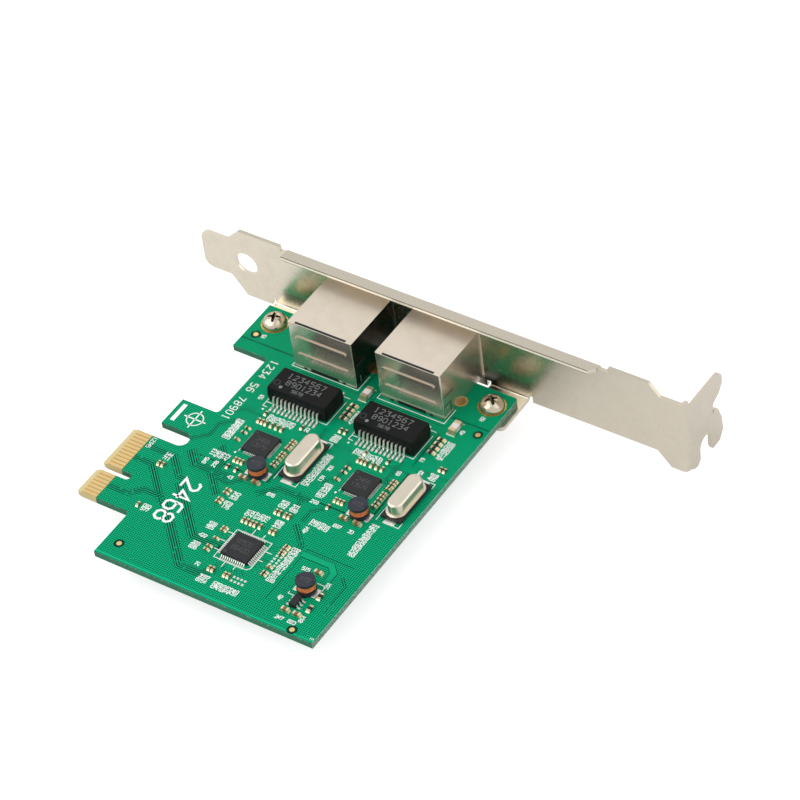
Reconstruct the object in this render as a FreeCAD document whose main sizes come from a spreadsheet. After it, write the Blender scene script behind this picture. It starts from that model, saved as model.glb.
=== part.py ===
import FreeCAD, Part
import Sketcher
import math
import os
import re

# Dual-port network interface card, in millimetres.
#
# Frame: origin at the key notch of the edge connector, on the mating edge and half-way through the
# board. +X runs from the mating edge to the far long edge, +Y towards the slot bracket, +Z out of the
# component side.

V = FreeCAD.Vector
os.makedirs("parts", exist_ok=True)
doc = FreeCAD.newDocument("NetworkCard")

# Driving dimensions

SIZES = [
    ("board_thickness", 1.57, "laminate"),
    ("board_right", 67.2, "mating edge to the opposite long edge"),
    ("board_near", 56.5, "key centre to the edge beside the bracket"),
    ("board_far", 20.5, "key centre to the edge away from the bracket"),
    ("tab_long", 12.15, "key centre to the end of the long connector tab"),
    ("tab_short", 8.15, "key centre to the end of the short connector tab"),
    ("key_width", 1.9, "key notch"),
    ("key_depth", 8.0, "key notch"),
    ("key_end_radius", 0.9, "rounding of the key notch end"),
    ("slot_width", 4.05, "retention slot beside the connector"),
    ("slot_depth", 12.7, "retention slot"),
    ("slot_end_radius", 1.9, "rounding of the retention slot end"),
    ("shoulder_inset", 13.6, "mating edge to the board edge past the short tab"),
    ("wing_inset", 4.3, "mating edge to the two wings near the bracket"),
    ("wing_end", 24.0, "end of the wing beside the retention slot"),
    ("notch_inset", 13.35, "mating edge to the floor of the wide notch"),
    ("head_start", 42.55, "start of the wing beside the bracket"),
    ("inner_radius", 1.0, "inside corners of the board"),
    ("outer_radius", 0.7, "outside corners that meet the host"),
    ("bevel_length", 1.3, "lead-in bevel of the mating edge"),
    ("bevel_depth", 0.45, "lead-in bevel of the mating edge"),
    ("finger_pitch", 1.0, "edge contacts"),
    ("finger_width", 0.7, "edge contacts"),
    ("finger_start", 1.35, "edge contacts, from the mating edge"),
    ("finger_end", 4.95, "edge contacts, from the mating edge"),
    ("finger_first", 1.5, "key centre to the first contact on each side"),
    ("fingers_long", 11, "contacts on the long tab, each face"),
    ("fingers_short", 7, "contacts on the short tab, each face"),
    ("plating", 0.05, "thickness of plated pads"),
    ("face_y", 59.0, "key centre to the inner face of the bracket"),
    ("sheet_metal", 0.86, "bracket stock"),
    ("bracket_tip", 13.9, "mating edge back to the tip of the tongue"),
    ("bracket_length", 120.02, "tip of the tongue to the outer face of the top tab"),
    ("bracket_width", 18.42, "bracket"),
    ("tongue_width", 10.19, "tongue"),
    ("tongue_drop", 3.5, "component-side edge to the tongue"),
    ("tongue_run", 6.8, "parallel part of the tongue"),
    ("tongue_taper", 3.6, "length of the tapers from tongue to body"),
    ("tongue_radius", 2.2, "corners of the tongue"),
    ("tongue_hole", 5.6, "diameter of the round hole"),
    ("tongue_hole_x", 11.4, "tip to the round hole"),
    ("tongue_hole_drop", 8.9, "component-side edge to the round hole"),
    ("tail_upper", 8.2, "outer face of the top tab back to the step of the component-side edge"),
    ("tail_upper_run", 2.5, "length of that step"),
    ("tail_drop", 2.9, "depth of that step"),
    ("tail_lower", 7.0, "outer face of the top tab back to the step of the solder-side edge"),
    ("tail_lower_run", 3.1, "length of that step"),
    ("tail_step", 3.55, "depth of that step"),
    ("lip_start", 23.2, "tip to the start of the folded lip"),
    ("lip_end", 19.72, "outer face of the top tab back to the end of the folded lip"),
    ("lip_depth", 2.5, "lip, from the inner face"),
    ("lip_chamfer", 1.4, "cut corner of the lip"),
    ("relief_width", 2.0, "bend relief"),
    ("relief_depth", 1.2, "bend relief"),
    ("bend_inner", 0.4, "inside bend radius"),
    ("tab_depth", 15.0, "top tab, from the inner face"),
    ("tab_fall", 2.2, "step from the tail down to the top tab"),
    ("tab_waist", 3.8, "how far the waist above the hook lies behind the hook"),
    ("tab_corner", 2.0, "rounded corner of the top tab"),
    ("tab_slot_y", 7.37, "inner face to the centre of the screw slot"),
    ("tab_slot_width", 4.42, "screw slot of the top tab"),
    ("tab_slot_rise", 3.4, "lower end of the tab to the centre of the slot end"),
    ("tab_foot", 1.35, "how far the tab reaches below the tail"),
    ("hook_depth", 14.5, "hook beyond the slot, from the inner face"),
    ("hook_foot", 1.75, "how far the hook reaches below the tail"),
    ("lug_width", 9.2, "mounting lug"),
    ("lug_length", 10.4, "mounting lug, from the inner face"),
    ("lug_radius", 1.2, "corners of the mounting lug"),
    ("lug_relief", 1.7, "depth of the cuts beside a lug"),
    ("screw_left", 8.6, "mating edge to the first bracket screw"),
    ("screw_spacing", 54.9, "between the bracket screws"),
    ("screw_y", 52.2, "key centre to the bracket screws"),
    ("screw_hole", 3.3, "board hole for a bracket screw"),
    ("screw_shank", 2.9, "screw thread"),
    ("screw_fit", 0.03, "side clearance of the screw in its tapped lug"),
    ("screw_length", 3.6, "under the head"),
    ("screw_head", 5.5, "head diameter"),
    ("screw_head_height", 2.2, "head height"),
    ("recess_span", 3.2, "cross recess"),
    ("recess_width", 0.75, "cross recess"),
    ("recess_depth", 1.2, "cross recess"),
    ("ring_outer", 6.1, "plated ring under a screw"),
    ("shield_pad", 3.1, "plated ring round a shield tail"),
    ("jack_1_x", 27.55, "centre of the first jack"),
    ("jack_1_rear", 43.5, "rear face of the first jack"),
    ("jack_2_x", 49.05, "centre of the second jack"),
    ("jack_2_rear", 44.0, "rear face of the second jack"),
    ("jack_width", 16.0, "shield"),
    ("jack_height", 12.6, "shield"),
    ("jack_proud", 0.4, "shield beyond the outer face of the bracket"),
    ("shield", 0.25, "shield stock"),
    ("shield_radius", 0.35, "outside bends of the shield"),
    ("port_gap", 0.35, "bracket window round the shield"),
    ("rib_height", 0.9, "pressed rib on the rear of the shield"),
    ("rib_proud", 0.3, "pressed rib"),
    ("rib_margin", 1.6, "side of the shield to the rib's end centre"),
    ("rib_low", 3.95, "height of the lower rib"),
    ("rib_high", 8.8, "height of the upper rib"),
    ("seam_width", 0.45, "slot along the rear top seam"),
    ("seam_inset", 0.3, "rear face to the seam"),
    ("seam_margin", 1.7, "side of the shield to the seam"),
    ("slit_z", 5.8, "height of the slit in each side"),
    ("slit_width", 0.35, "slit"),
    ("slit_length", 4.0, "slit, from the rear"),
    ("shield_tail_y", 50.4, "key centre to the shield tails"),
    ("shield_tail_width", 1.3, "shield tail"),
    ("shield_hole", 1.7, "board hole for a shield tail"),
    ("tail_below", 1.1, "tails below the board"),
    ("housing_fit", 0.06, "between housing and shield"),
    ("housing_set_back", 0.3, "housing face behind the shield's front edge"),
    ("plug_width", 11.9, "plug opening"),
    ("plug_low", 3.7, "floor of the plug opening"),
    ("plug_high", 10.5, "roof of the plug opening"),
    ("plug_depth", 11.4, "plug opening"),
    ("latch_width", 6.4, "latch step of the opening"),
    ("latch_drop", 1.3, "latch step of the opening"),
    ("latch_slot", 3.4, "latch slot of the opening"),
    ("latch_slot_drop", 1.1, "latch slot of the opening"),
    ("chamber_width", 10.2, "rear chamber of the housing"),
    ("chamber_depth", 4.6, "rear chamber, from the rear of the shield"),
    ("comb_width", 8.2, "channel for the contacts above the plug"),
    ("comb_height", 0.9, "channel for the contacts"),
    ("comb_length", 11.0, "channel, from the rear of the shield"),
    ("contact_pitch", 1.02, "jack contacts"),
    ("contact_width", 0.46, "jack contacts"),
    ("contact_stock", 0.3, "jack contacts"),
    ("contact_hole", 0.9, "board holes of the contacts"),
    ("contact_row", 1.6, "rear face to the first row of tails"),
    ("contact_row_gap", 2.54, "between the rows of tails"),
    ("contact_reach", 10.0, "rear face to the bend of the spring"),
    ("contact_dip", 2.6, "how far the spring reaches into the opening"),
    ("peg_diameter", 3.2, "locating peg"),
    ("peg_fit", 0.05, "side clearance of a peg in its hole"),
    ("peg_spacing", 11.43, "locating pegs"),
    ("peg_y", 10.3, "rear face to the pegs"),
    ("light_width", 2.8, "light pipe"),
    ("light_height", 2.0, "light pipe"),
    ("light_inset", 2.3, "side of the shield to the middle of a light pipe"),
    ("light_z", 0.6, "board to the underside of a light pipe"),
    ("light_length", 9.5, "light pipe"),
    ("transformer_1_x", 28.15, "centre of the first transformer"),
    ("transformer_2_x", 49.8, "centre of the second transformer"),
    ("transformer_y", 35.4, "centre of both transformers"),
    ("transformer_length", 14.8, "moulded body"),
    ("transformer_width", 6.9, "moulded body"),
    ("transformer_height", 4.1, "board to the top of the body"),
    ("transformer_lift", 0.15, "board to the underside of the body"),
    ("transformer_pins", 12, "leads on each side"),
    ("transformer_pitch", 1.0, "leads"),
    ("transformer_span", 10.9, "lead tip to lead tip"),
    ("transformer_lead_z", 2.1, "where the leads leave the body"),
    ("lead_width", 0.42, "transformer leads"),
    ("lead_stock", 0.2, "transformer leads"),
    ("mould_draft", 5.0, "draft of moulded bodies, in degrees"),
    ("controller_1_x", 27.05, "centre of the first controller"),
    ("controller_2_x", 52.1, "centre of the second controller"),
    ("controller_y", 20.2, "centre of both controllers"),
    ("controller_side", 6.0, "square body"),
    ("controller_height", 0.85, "body"),
    ("switch_x", 40.6, "centre of the switch chip"),
    ("switch_y", 6.1, "key centre to the switch chip, away from the bracket"),
    ("switch_side", 6.5, "square body"),
    ("switch_height", 1.05, "board to the top of the body"),
    ("switch_lift", 0.1, "board to the underside of the body"),
    ("switch_pins", 12, "leads on each side"),
    ("switch_pitch", 0.5, "leads"),
    ("switch_span", 8.3, "lead tip to lead tip"),
    ("fine_lead_width", 0.24, "leads of the switch chip"),
    ("fine_lead_stock", 0.14, "leads of the switch chip and the regulator"),
    ("regulator_x", 58.35, "centre of the regulator"),
    ("regulator_y", 13.0, "key centre to the regulator, away from the bracket"),
    ("regulator_length", 2.9, "body"),
    ("regulator_width", 1.6, "body"),
    ("regulator_height", 1.15, "board to the top of the body"),
    ("regulator_span", 2.8, "lead tip to lead tip"),
    ("regulator_pitch", 0.95, "leads"),
    ("regulator_lead_width", 0.4, "leads"),
    ("crystal_1_x", 37.65, "centre of the first crystal"),
    ("crystal_2_x", 62.8, "centre of the second crystal"),
    ("crystal_y", 20.5, "centre of both crystals"),
    ("crystal_base_length", 11.8, "seating base"),
    ("crystal_base_width", 4.9, "seating base"),
    ("crystal_base_height", 0.6, "seating base"),
    ("crystal_flange_length", 11.4, "flange of the can"),
    ("crystal_flange_width", 4.5, "flange of the can"),
    ("crystal_flange_stock", 0.3, "flange of the can"),
    ("crystal_can_length", 10.3, "drawn can"),
    ("crystal_can_width", 3.5, "drawn can"),
    ("crystal_height", 3.75, "board to the top of the can"),
    ("crystal_can_edge", 0.3, "broken top edge of the can"),
    ("terminal_stock", 0.15, "terminals under crystals and inductors"),
    ("crystal_terminal_width", 2.1, "terminal"),
    ("crystal_terminal_reach", 6.9, "centre to the end of a terminal"),
    ("crystal_terminal_length", 2.6, "terminal"),
    ("inductor_1_x", 31.05, "centre of the first inductor"),
    ("inductor_2_x", 56.2, "centre of the second inductor"),
    ("inductor_pair_y", 13.25, "centre of the first two inductors"),
    ("inductor_3_x", 58.35, "centre of the third inductor"),
    ("inductor_3_y", 9.1, "key centre to the third inductor, away from the bracket"),
    ("drum_diameter", 4.2, "ferrite drum"),
    ("drum_height", 3.2, "board to the top of the drum"),
    ("drum_flange", 0.65, "upper and lower flange"),
    ("drum_post", 2.0, "diameter of the waist"),
    ("coil_diameter", 3.5, "copper winding"),
    ("inductor_terminal_width", 2.2, "terminal"),
    ("inductor_terminal_reach", 2.45, "centre to the end of a terminal"),
    ("inductor_terminal_length", 1.0, "terminal"),
    ("small_length", 1.0, "smallest chip parts"),
    ("small_width", 0.5, "smallest chip parts"),
    ("small_height", 0.5, "smallest chip parts"),
    ("medium_length", 1.6, "middle-sized chip parts"),
    ("medium_width", 0.8, "middle-sized chip parts"),
    ("medium_height", 0.75, "middle-sized chip parts"),
    ("resistor_height", 0.4, "all chip resistors"),
    ("surge_length", 3.1, "high-voltage capacitors"),
    ("surge_width", 1.5, "high-voltage capacitors"),
    ("surge_height", 1.2, "high-voltage capacitors"),
    ("end_share", 0.26, "tinned end as a share of a chip part's length"),
    ("placement_grid", 1.0, "grid of the chip parts' places"),
]

sheet = doc.addObject("Spreadsheet::Sheet", "Sizes")
for row, (name, size, note) in enumerate(SIZES, start=1):
    sheet.set(f"A{row}", note)
    sheet.set(f"B{row}", str(size))
    sheet.setAlias(f"B{row}", name)
doc.recompute()


def cells(expression):
    """The expression with each size name pointed at the sheet."""
    return re.sub(r"\b([a-z]\w*)", r"Sizes.\1", expression)


def value(expression):
    """The expression worked out from the sheet."""
    return float(sheet.evalExpression(cells(expression)))


TOP = "board_thickness / 2"
PLATED_TOP = "board_thickness / 2 + plating"
LENGTHWISE = V(1, 0, 0)
CROSSWISE = V(0, 1, 0)
UPRIGHT = V(0, 0, 1)
TINY = 8  # flats of the smallest holes
COARSE = 16  # flats of the other small round shapes
pieces = []


# Helpers for bodies, sketches and features

def new_body(label, x="0", y="0", z="0"):
    """An empty body at a place given by expressions."""
    body = doc.addObject("PartDesign::Body", label)
    body.Label = label
    for axis, expression in zip("xyz", (x, y, z)):
        body.setExpression("Placement.Base." + axis, cells(expression))
    pieces.append(body)
    return body


def new_sketch(body, role, lift="0"):
    """A sketch on one of the body's own planes, lifted along the plane's normal."""
    sketch = body.newObject("Sketcher::SketchObject", body.Name + "_sketch")
    plane = [part for part in body.Origin.OriginFeatures if part.Role == role][0]
    sketch.AttachmentSupport = [(plane, "")]
    sketch.MapMode = "FlatFace"
    sketch.setExpression("AttachmentOffset.Base.z", cells(lift))
    return sketch


def drive(sketch, kind, first, second, expression):
    """A driving constraint whose size comes from the sheet."""
    number = sketch.addConstraint(Sketcher.Constraint(kind, *first, *second, value(expression)))
    sketch.setExpression(f"Constraints[{number}]", cells(expression))


def place_point(sketch, item, end, x, y):
    """Fixes one point of a sketch item at a place given by expressions."""
    drive(sketch, "DistanceX", (-1, 1), (item, end), x)
    drive(sketch, "DistanceY", (-1, 1), (item, end), y)


def polygon(sketch, corners):
    """A closed outline of straight lines."""
    first = sketch.GeometryCount
    count = len(corners)
    points = [V(value(x), value(y), 0) for x, y in corners]
    sketch.addGeometry([Part.LineSegment(points[number - 1], points[number]) for number in range(count)])
    joints = [Sketcher.Constraint("Coincident", first + number - 1, 2, first + number, 1)
              for number in range(1, count)]
    joints.append(Sketcher.Constraint("Coincident", first + count - 1, 2, first, 1))
    places = []
    expressions = []
    for number, corner in enumerate(corners):
        for kind, expression in zip(("DistanceX", "DistanceY"), corner):
            places.append(Sketcher.Constraint(kind, -1, 1, first + number, 2, value(expression)))
            expressions.append(expression)
    sketch.addConstraint(joints)
    for number, expression in zip(sketch.addConstraint(places), expressions):
        sketch.setExpression(f"Constraints[{number}]", cells(expression))


def rectangle(sketch, left, right, low, high):
    """A closed rectangle between four expressions."""
    polygon(sketch, [(left, low), (right, low), (right, high), (left, high)])


def circle(sketch, x, y, diameter):
    """A circle at a place given by expressions."""
    item = sketch.addGeometry(Part.Circle(V(value(x), value(y), 0), UPRIGHT, value(diameter) / 2))
    place_point(sketch, item, 3, x, y)
    drive(sketch, "Diameter", (item,), (), diameter)


def round_outline(sketch, x, y, diameter, sides):
    """A regular outline with a whole number of flats, standing round a circle of the given diameter."""
    sides = round(sides)
    reach = 0.5 / math.cos(math.pi / sides)
    angles = [2 * math.pi * (number + 0.5) / sides for number in range(sides)]
    polygon(sketch, [(f"{x} + ({diameter}) * {reach * math.cos(angle):.6f}",
                      f"{y} + ({diameter}) * {reach * math.sin(angle):.6f}") for angle in angles])


def stadium(sketch, length, width, x="0", y="0", upright=False):
    """A slot outline: two parallel lines joined by half circles."""
    radius = value(width) / 2
    reach = value(length) / 2 - radius
    along = V(0, 1, 0) if upright else V(1, 0, 0)
    across = V(1, 0, 0) if upright else V(0, 1, 0)
    middle = V(value(x), value(y), 0)
    ends = [middle - along * reach, middle + along * reach]
    start = math.atan2(across.y, across.x)
    turn = math.pi if along.cross(across).z > 0 else -math.pi
    corners = [(ends[0] + across * radius, ends[1] + across * radius),
               (ends[1] - across * radius, ends[0] - across * radius)]
    lines = [sketch.addGeometry(Part.LineSegment(a, b)) for a, b in corners]
    arcs = []
    for centre, side in ((ends[1], 1), (ends[0], -1)):
        tip = centre + along * radius * side
        arc = Part.Arc(centre + across * radius * side, tip, centre - across * radius * side)
        arcs.append(sketch.addGeometry(arc))
    joints = [(lines[0], 2, arcs[0]), (lines[1], 1, arcs[0]), (lines[1], 2, arcs[1]), (lines[0], 1, arcs[1])]
    for line, end, arc in joints:
        spot = sketch.getPoint(line, end)
        near = 1 if (sketch.getPoint(arc, 1) - spot).Length < 1e-6 else 2
        sketch.addConstraint(Sketcher.Constraint("Tangent", line, end, arc, near))
    half = f"({length} - {width}) / 2"
    if upright:
        place_point(sketch, arcs[0], 3, x, f"{y} + {half}")
        place_point(sketch, arcs[1], 3, x, f"{y} - {half}")
    else:
        place_point(sketch, arcs[0], 3, f"{x} + {half}", y)
        place_point(sketch, arcs[1], 3, f"{x} - {half}", y)
    drive(sketch, "Radius", (arcs[0],), (), f"({width}) / 2")


def pad(body, sketch, length, side="One side", reverse=False, draft=None):
    """Grows the body by a sketch."""
    feature = body.newObject("PartDesign::Pad", body.Name + "_pad")
    feature.Profile = sketch
    feature.SideType = side
    feature.Reversed = reverse
    feature.setExpression("Length", cells(length))
    if draft:
        feature.setExpression("TaperAngle", cells(draft))
    return feature


def pocket(body, sketch, depth, side="Symmetric", reverse=False):
    """Cuts the body by a sketch."""
    feature = body.newObject("PartDesign::Pocket", body.Name + "_pocket")
    feature.Profile = sketch
    feature.SideType = side
    feature.Reversed = reverse
    feature.setExpression("Length", cells(depth))
    return feature


def revolve(body, sketch):
    """Turns a sketch on the XZ plane round the body's upright axis."""
    feature = body.newObject("PartDesign::Revolution", body.Name + "_turn")
    feature.Profile = sketch
    feature.ReferenceAxis = (sketch, ["V_Axis"])
    feature.Angle = 360
    return feature


def repeat(body, features, sketch, axis, span, count):
    """Repeats features in a straight row."""
    feature = body.newObject("PartDesign::LinearPattern", body.Name + "_row")
    feature.Originals = features
    feature.Direction = (sketch, [axis])
    feature.setExpression("Length", cells(span))
    feature.setExpression("Occurrences", cells(count))
    body.Tip = feature
    return feature


def edges_through(feature, direction, places):
    """Names of the straight edges along a direction that pass through the given places."""
    doc.recompute()
    names = []
    for number, edge in enumerate(feature.Shape.Edges, start=1):
        if edge.Curve.TypeId != "Part::GeomLine":
            continue
        if abs(edge.Curve.Direction.dot(direction)) < 0.999:
            continue
        for place in places:
            offset = V(*[value(part) for part in place]) - edge.Vertexes[0].Point
            if (offset - direction * offset.dot(direction)).Length < 0.01:
                names.append(f"Edge{number}")
                break
    return names


def fillet(body, feature, direction, places, radius):
    """Rounds straight edges found by direction and place."""
    dressed = body.newObject("PartDesign::Fillet", body.Name + "_fillet")
    dressed.Base = (feature, edges_through(feature, direction, places))
    dressed.setExpression("Radius", cells(radius))
    return dressed


def chamfer(body, feature, direction, places, size):
    """Cuts straight edges found by direction and place."""
    dressed = body.newObject("PartDesign::Chamfer", body.Name + "_chamfer")
    dressed.Base = (feature, edges_through(feature, direction, places))
    dressed.setExpression("Size", cells(size))
    return dressed


def loose_group(label, solids):
    """A node made of several separate solids."""
    feature = doc.addObject("Part::Feature", label)
    feature.Label = label
    feature.Shape = Part.makeCompound(solids)
    feature.Placement = FreeCAD.Placement()
    pieces.append(feature)
    return feature


def ribbon(path, stock, width):
    """A bent strip: a path in the YZ plane with its stock thickness, spread evenly along X."""
    left, right = [], []
    for number, (y, z) in enumerate(path):
        before = path[max(number - 1, 0)]
        after = path[min(number + 1, len(path) - 1)]
        into = V(y - before[0], z - before[1], 0)
        out = V(after[0] - y, after[1] - z, 0)
        into = into.normalize() if into.Length > 0 else out.normalize()
        out = out.normalize() if out.Length > 0 else into
        across = V(-into.y - out.y, into.x + out.x, 0).normalize()
        miter = stock / 2 / across.dot(V(-into.y, into.x, 0))
        left.append(V(-width / 2, y + across.x * miter, z + across.y * miter))
        right.append(V(-width / 2, y - across.x * miter, z - across.y * miter))
    outline = left + right[::-1]
    face = Part.Face(Part.makePolygon(outline + outline[:1]))
    return face.extrude(V(width, 0, 0))


def moved(shape, x, y, z, turn=0):
    """A copy of a shape, turned about the upright axis and moved to a place."""
    copy = shape.copy()
    copy.Placement = FreeCAD.Placement(V(x, y, z), FreeCAD.Rotation(UPRIGHT, turn))
    return copy


# Circuit board

def jack_hole_places(number):
    """Board holes of one jack: contact holes, peg holes and shield holes, as expression pairs."""
    middle = f"jack_{number}_x"
    rear = f"jack_{number}_rear"
    contacts = []
    for pin in range(8):
        row = f"{rear} + contact_row + contact_row_gap * {pin % 2}"
        contacts.append((f"{middle} + contact_pitch * {pin - 3.5}", row))
    pegs = [(f"{middle} + peg_spacing * {side}", f"{rear} + peg_y") for side in (-0.5, 0.5)]
    shields = [(f"{middle} + (jack_width - shield) * {side}", "shield_tail_y") for side in (-0.5, 0.5)]
    return contacts, pegs, shields


def make_board():
    body = new_body("circuit_board")
    slot_top = "tab_long + slot_width"
    key_half = "key_width / 2"
    outline = new_sketch(body, "XY_Plane")
    polygon(outline, [
        ("0", "tab_long"), ("slot_depth", "tab_long"), ("slot_depth", slot_top), ("wing_inset", slot_top),
        ("wing_inset", "wing_end"), ("notch_inset", "wing_end"), ("notch_inset", "head_start"),
        ("wing_inset", "head_start"), ("wing_inset", "board_near"), ("board_right", "board_near"),
        ("board_right", "-board_far"), ("shoulder_inset", "-board_far"), ("shoulder_inset", "-tab_short"),
        ("0", "-tab_short"), ("0", "-key_width / 2"), ("key_depth", "-key_width / 2"),
        ("key_depth", key_half), ("0", key_half)])
    plate = pad(body, outline, "board_thickness", side="Symmetric")
    plate = fillet(body, plate, UPRIGHT, [
        ("slot_depth", "tab_long", "0"), ("slot_depth", slot_top, "0")], "slot_end_radius")
    plate = fillet(body, plate, UPRIGHT, [
        ("key_depth", key_half, "0"), ("key_depth", "-key_width / 2", "0")], "key_end_radius")
    plate = fillet(body, plate, UPRIGHT, [
        ("notch_inset", "wing_end", "0"), ("notch_inset", "head_start", "0"),
        ("shoulder_inset", "-tab_short", "0")], "inner_radius")
    plate = fillet(body, plate, UPRIGHT, [
        ("0", "-tab_short", "0"), ("0", "-key_width / 2", "0"), ("0", key_half, "0"),
        ("board_right", "board_near", "0")], "outer_radius")

    bevel = new_sketch(body, "XZ_Plane")
    for side in ("", "-"):
        face = f"{side}board_thickness / 2"
        floor = f"{side}(board_thickness / 2 - bevel_depth)"
        polygon(bevel, [("0", face), ("bevel_length", face), ("0", floor)])
    pocket(body, bevel, "4 * (tab_long + tab_short)")

    groups = [([("screw_left", "screw_y"), ("screw_left + screw_spacing", "screw_y")], "screw_hole", COARSE)]
    for number in (1, 2):
        contacts, pegs, shields = jack_hole_places(number)
        groups += [(contacts[:4], "contact_hole", TINY), (contacts[4:], "contact_hole", TINY),
                   (pegs, "peg_diameter + 2 * peg_fit", COARSE), (shields, "shield_hole", TINY)]
    for places, diameter, sides in groups:
        holes = new_sketch(body, "XY_Plane")
        for x, y in places:
            round_outline(holes, x, y, diameter, sides)
        pocket(body, holes, "4 * board_thickness")


def make_edge_contacts():
    """Both tabs, component side, mirrored onto the solder side."""
    body = new_body("edge_contacts")
    rows = []
    for sign, count in (("", "fingers_long"), ("-", "fingers_short")):
        finger = new_sketch(body, "XY_Plane", lift=TOP)
        middle = f"{sign}(finger_first + finger_pitch * ({count} - 1) / 2)"
        first = f"{middle} - finger_pitch * ({count} - 1) / 2"
        rectangle(finger, "finger_start", "finger_end",
                  f"{first} - finger_width / 2", f"{first} + finger_width / 2")
        plate = pad(body, finger, "plating")
        repeat(body, [plate], finger, "V_Axis", f"finger_pitch * ({count} - 1)", count)
    mirror = body.newObject("PartDesign::Mirrored", "edge_contacts_mirror")
    mirror.TransformMode = "Whole shape"
    mirror.MirrorPlane = ([part for part in body.Origin.OriginFeatures if part.Role == "XY_Plane"][0], [""])
    body.Tip = mirror


def make_plated_rings():
    """Plated rings under the screw heads and round the shield tails."""
    body = new_body("plated_rings", z=TOP)
    rings = [("screw_left", "screw_y", "ring_outer", "screw_hole", 2 * COARSE, COARSE),
             ("screw_left + screw_spacing", "screw_y", "ring_outer", "screw_hole", 2 * COARSE, COARSE)]
    for number in (1, 2):
        rings += [(x, y, "shield_pad", "shield_hole", COARSE, TINY) for x, y in jack_hole_places(number)[2]]
    for x, y, outer, inner, outer_sides, inner_sides in rings:
        sketch = new_sketch(body, "XY_Plane")
        round_outline(sketch, x, y, outer, outer_sides)
        round_outline(sketch, x, y, inner, inner_sides)
        pad(body, sketch, "plating")


# Bracket

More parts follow.
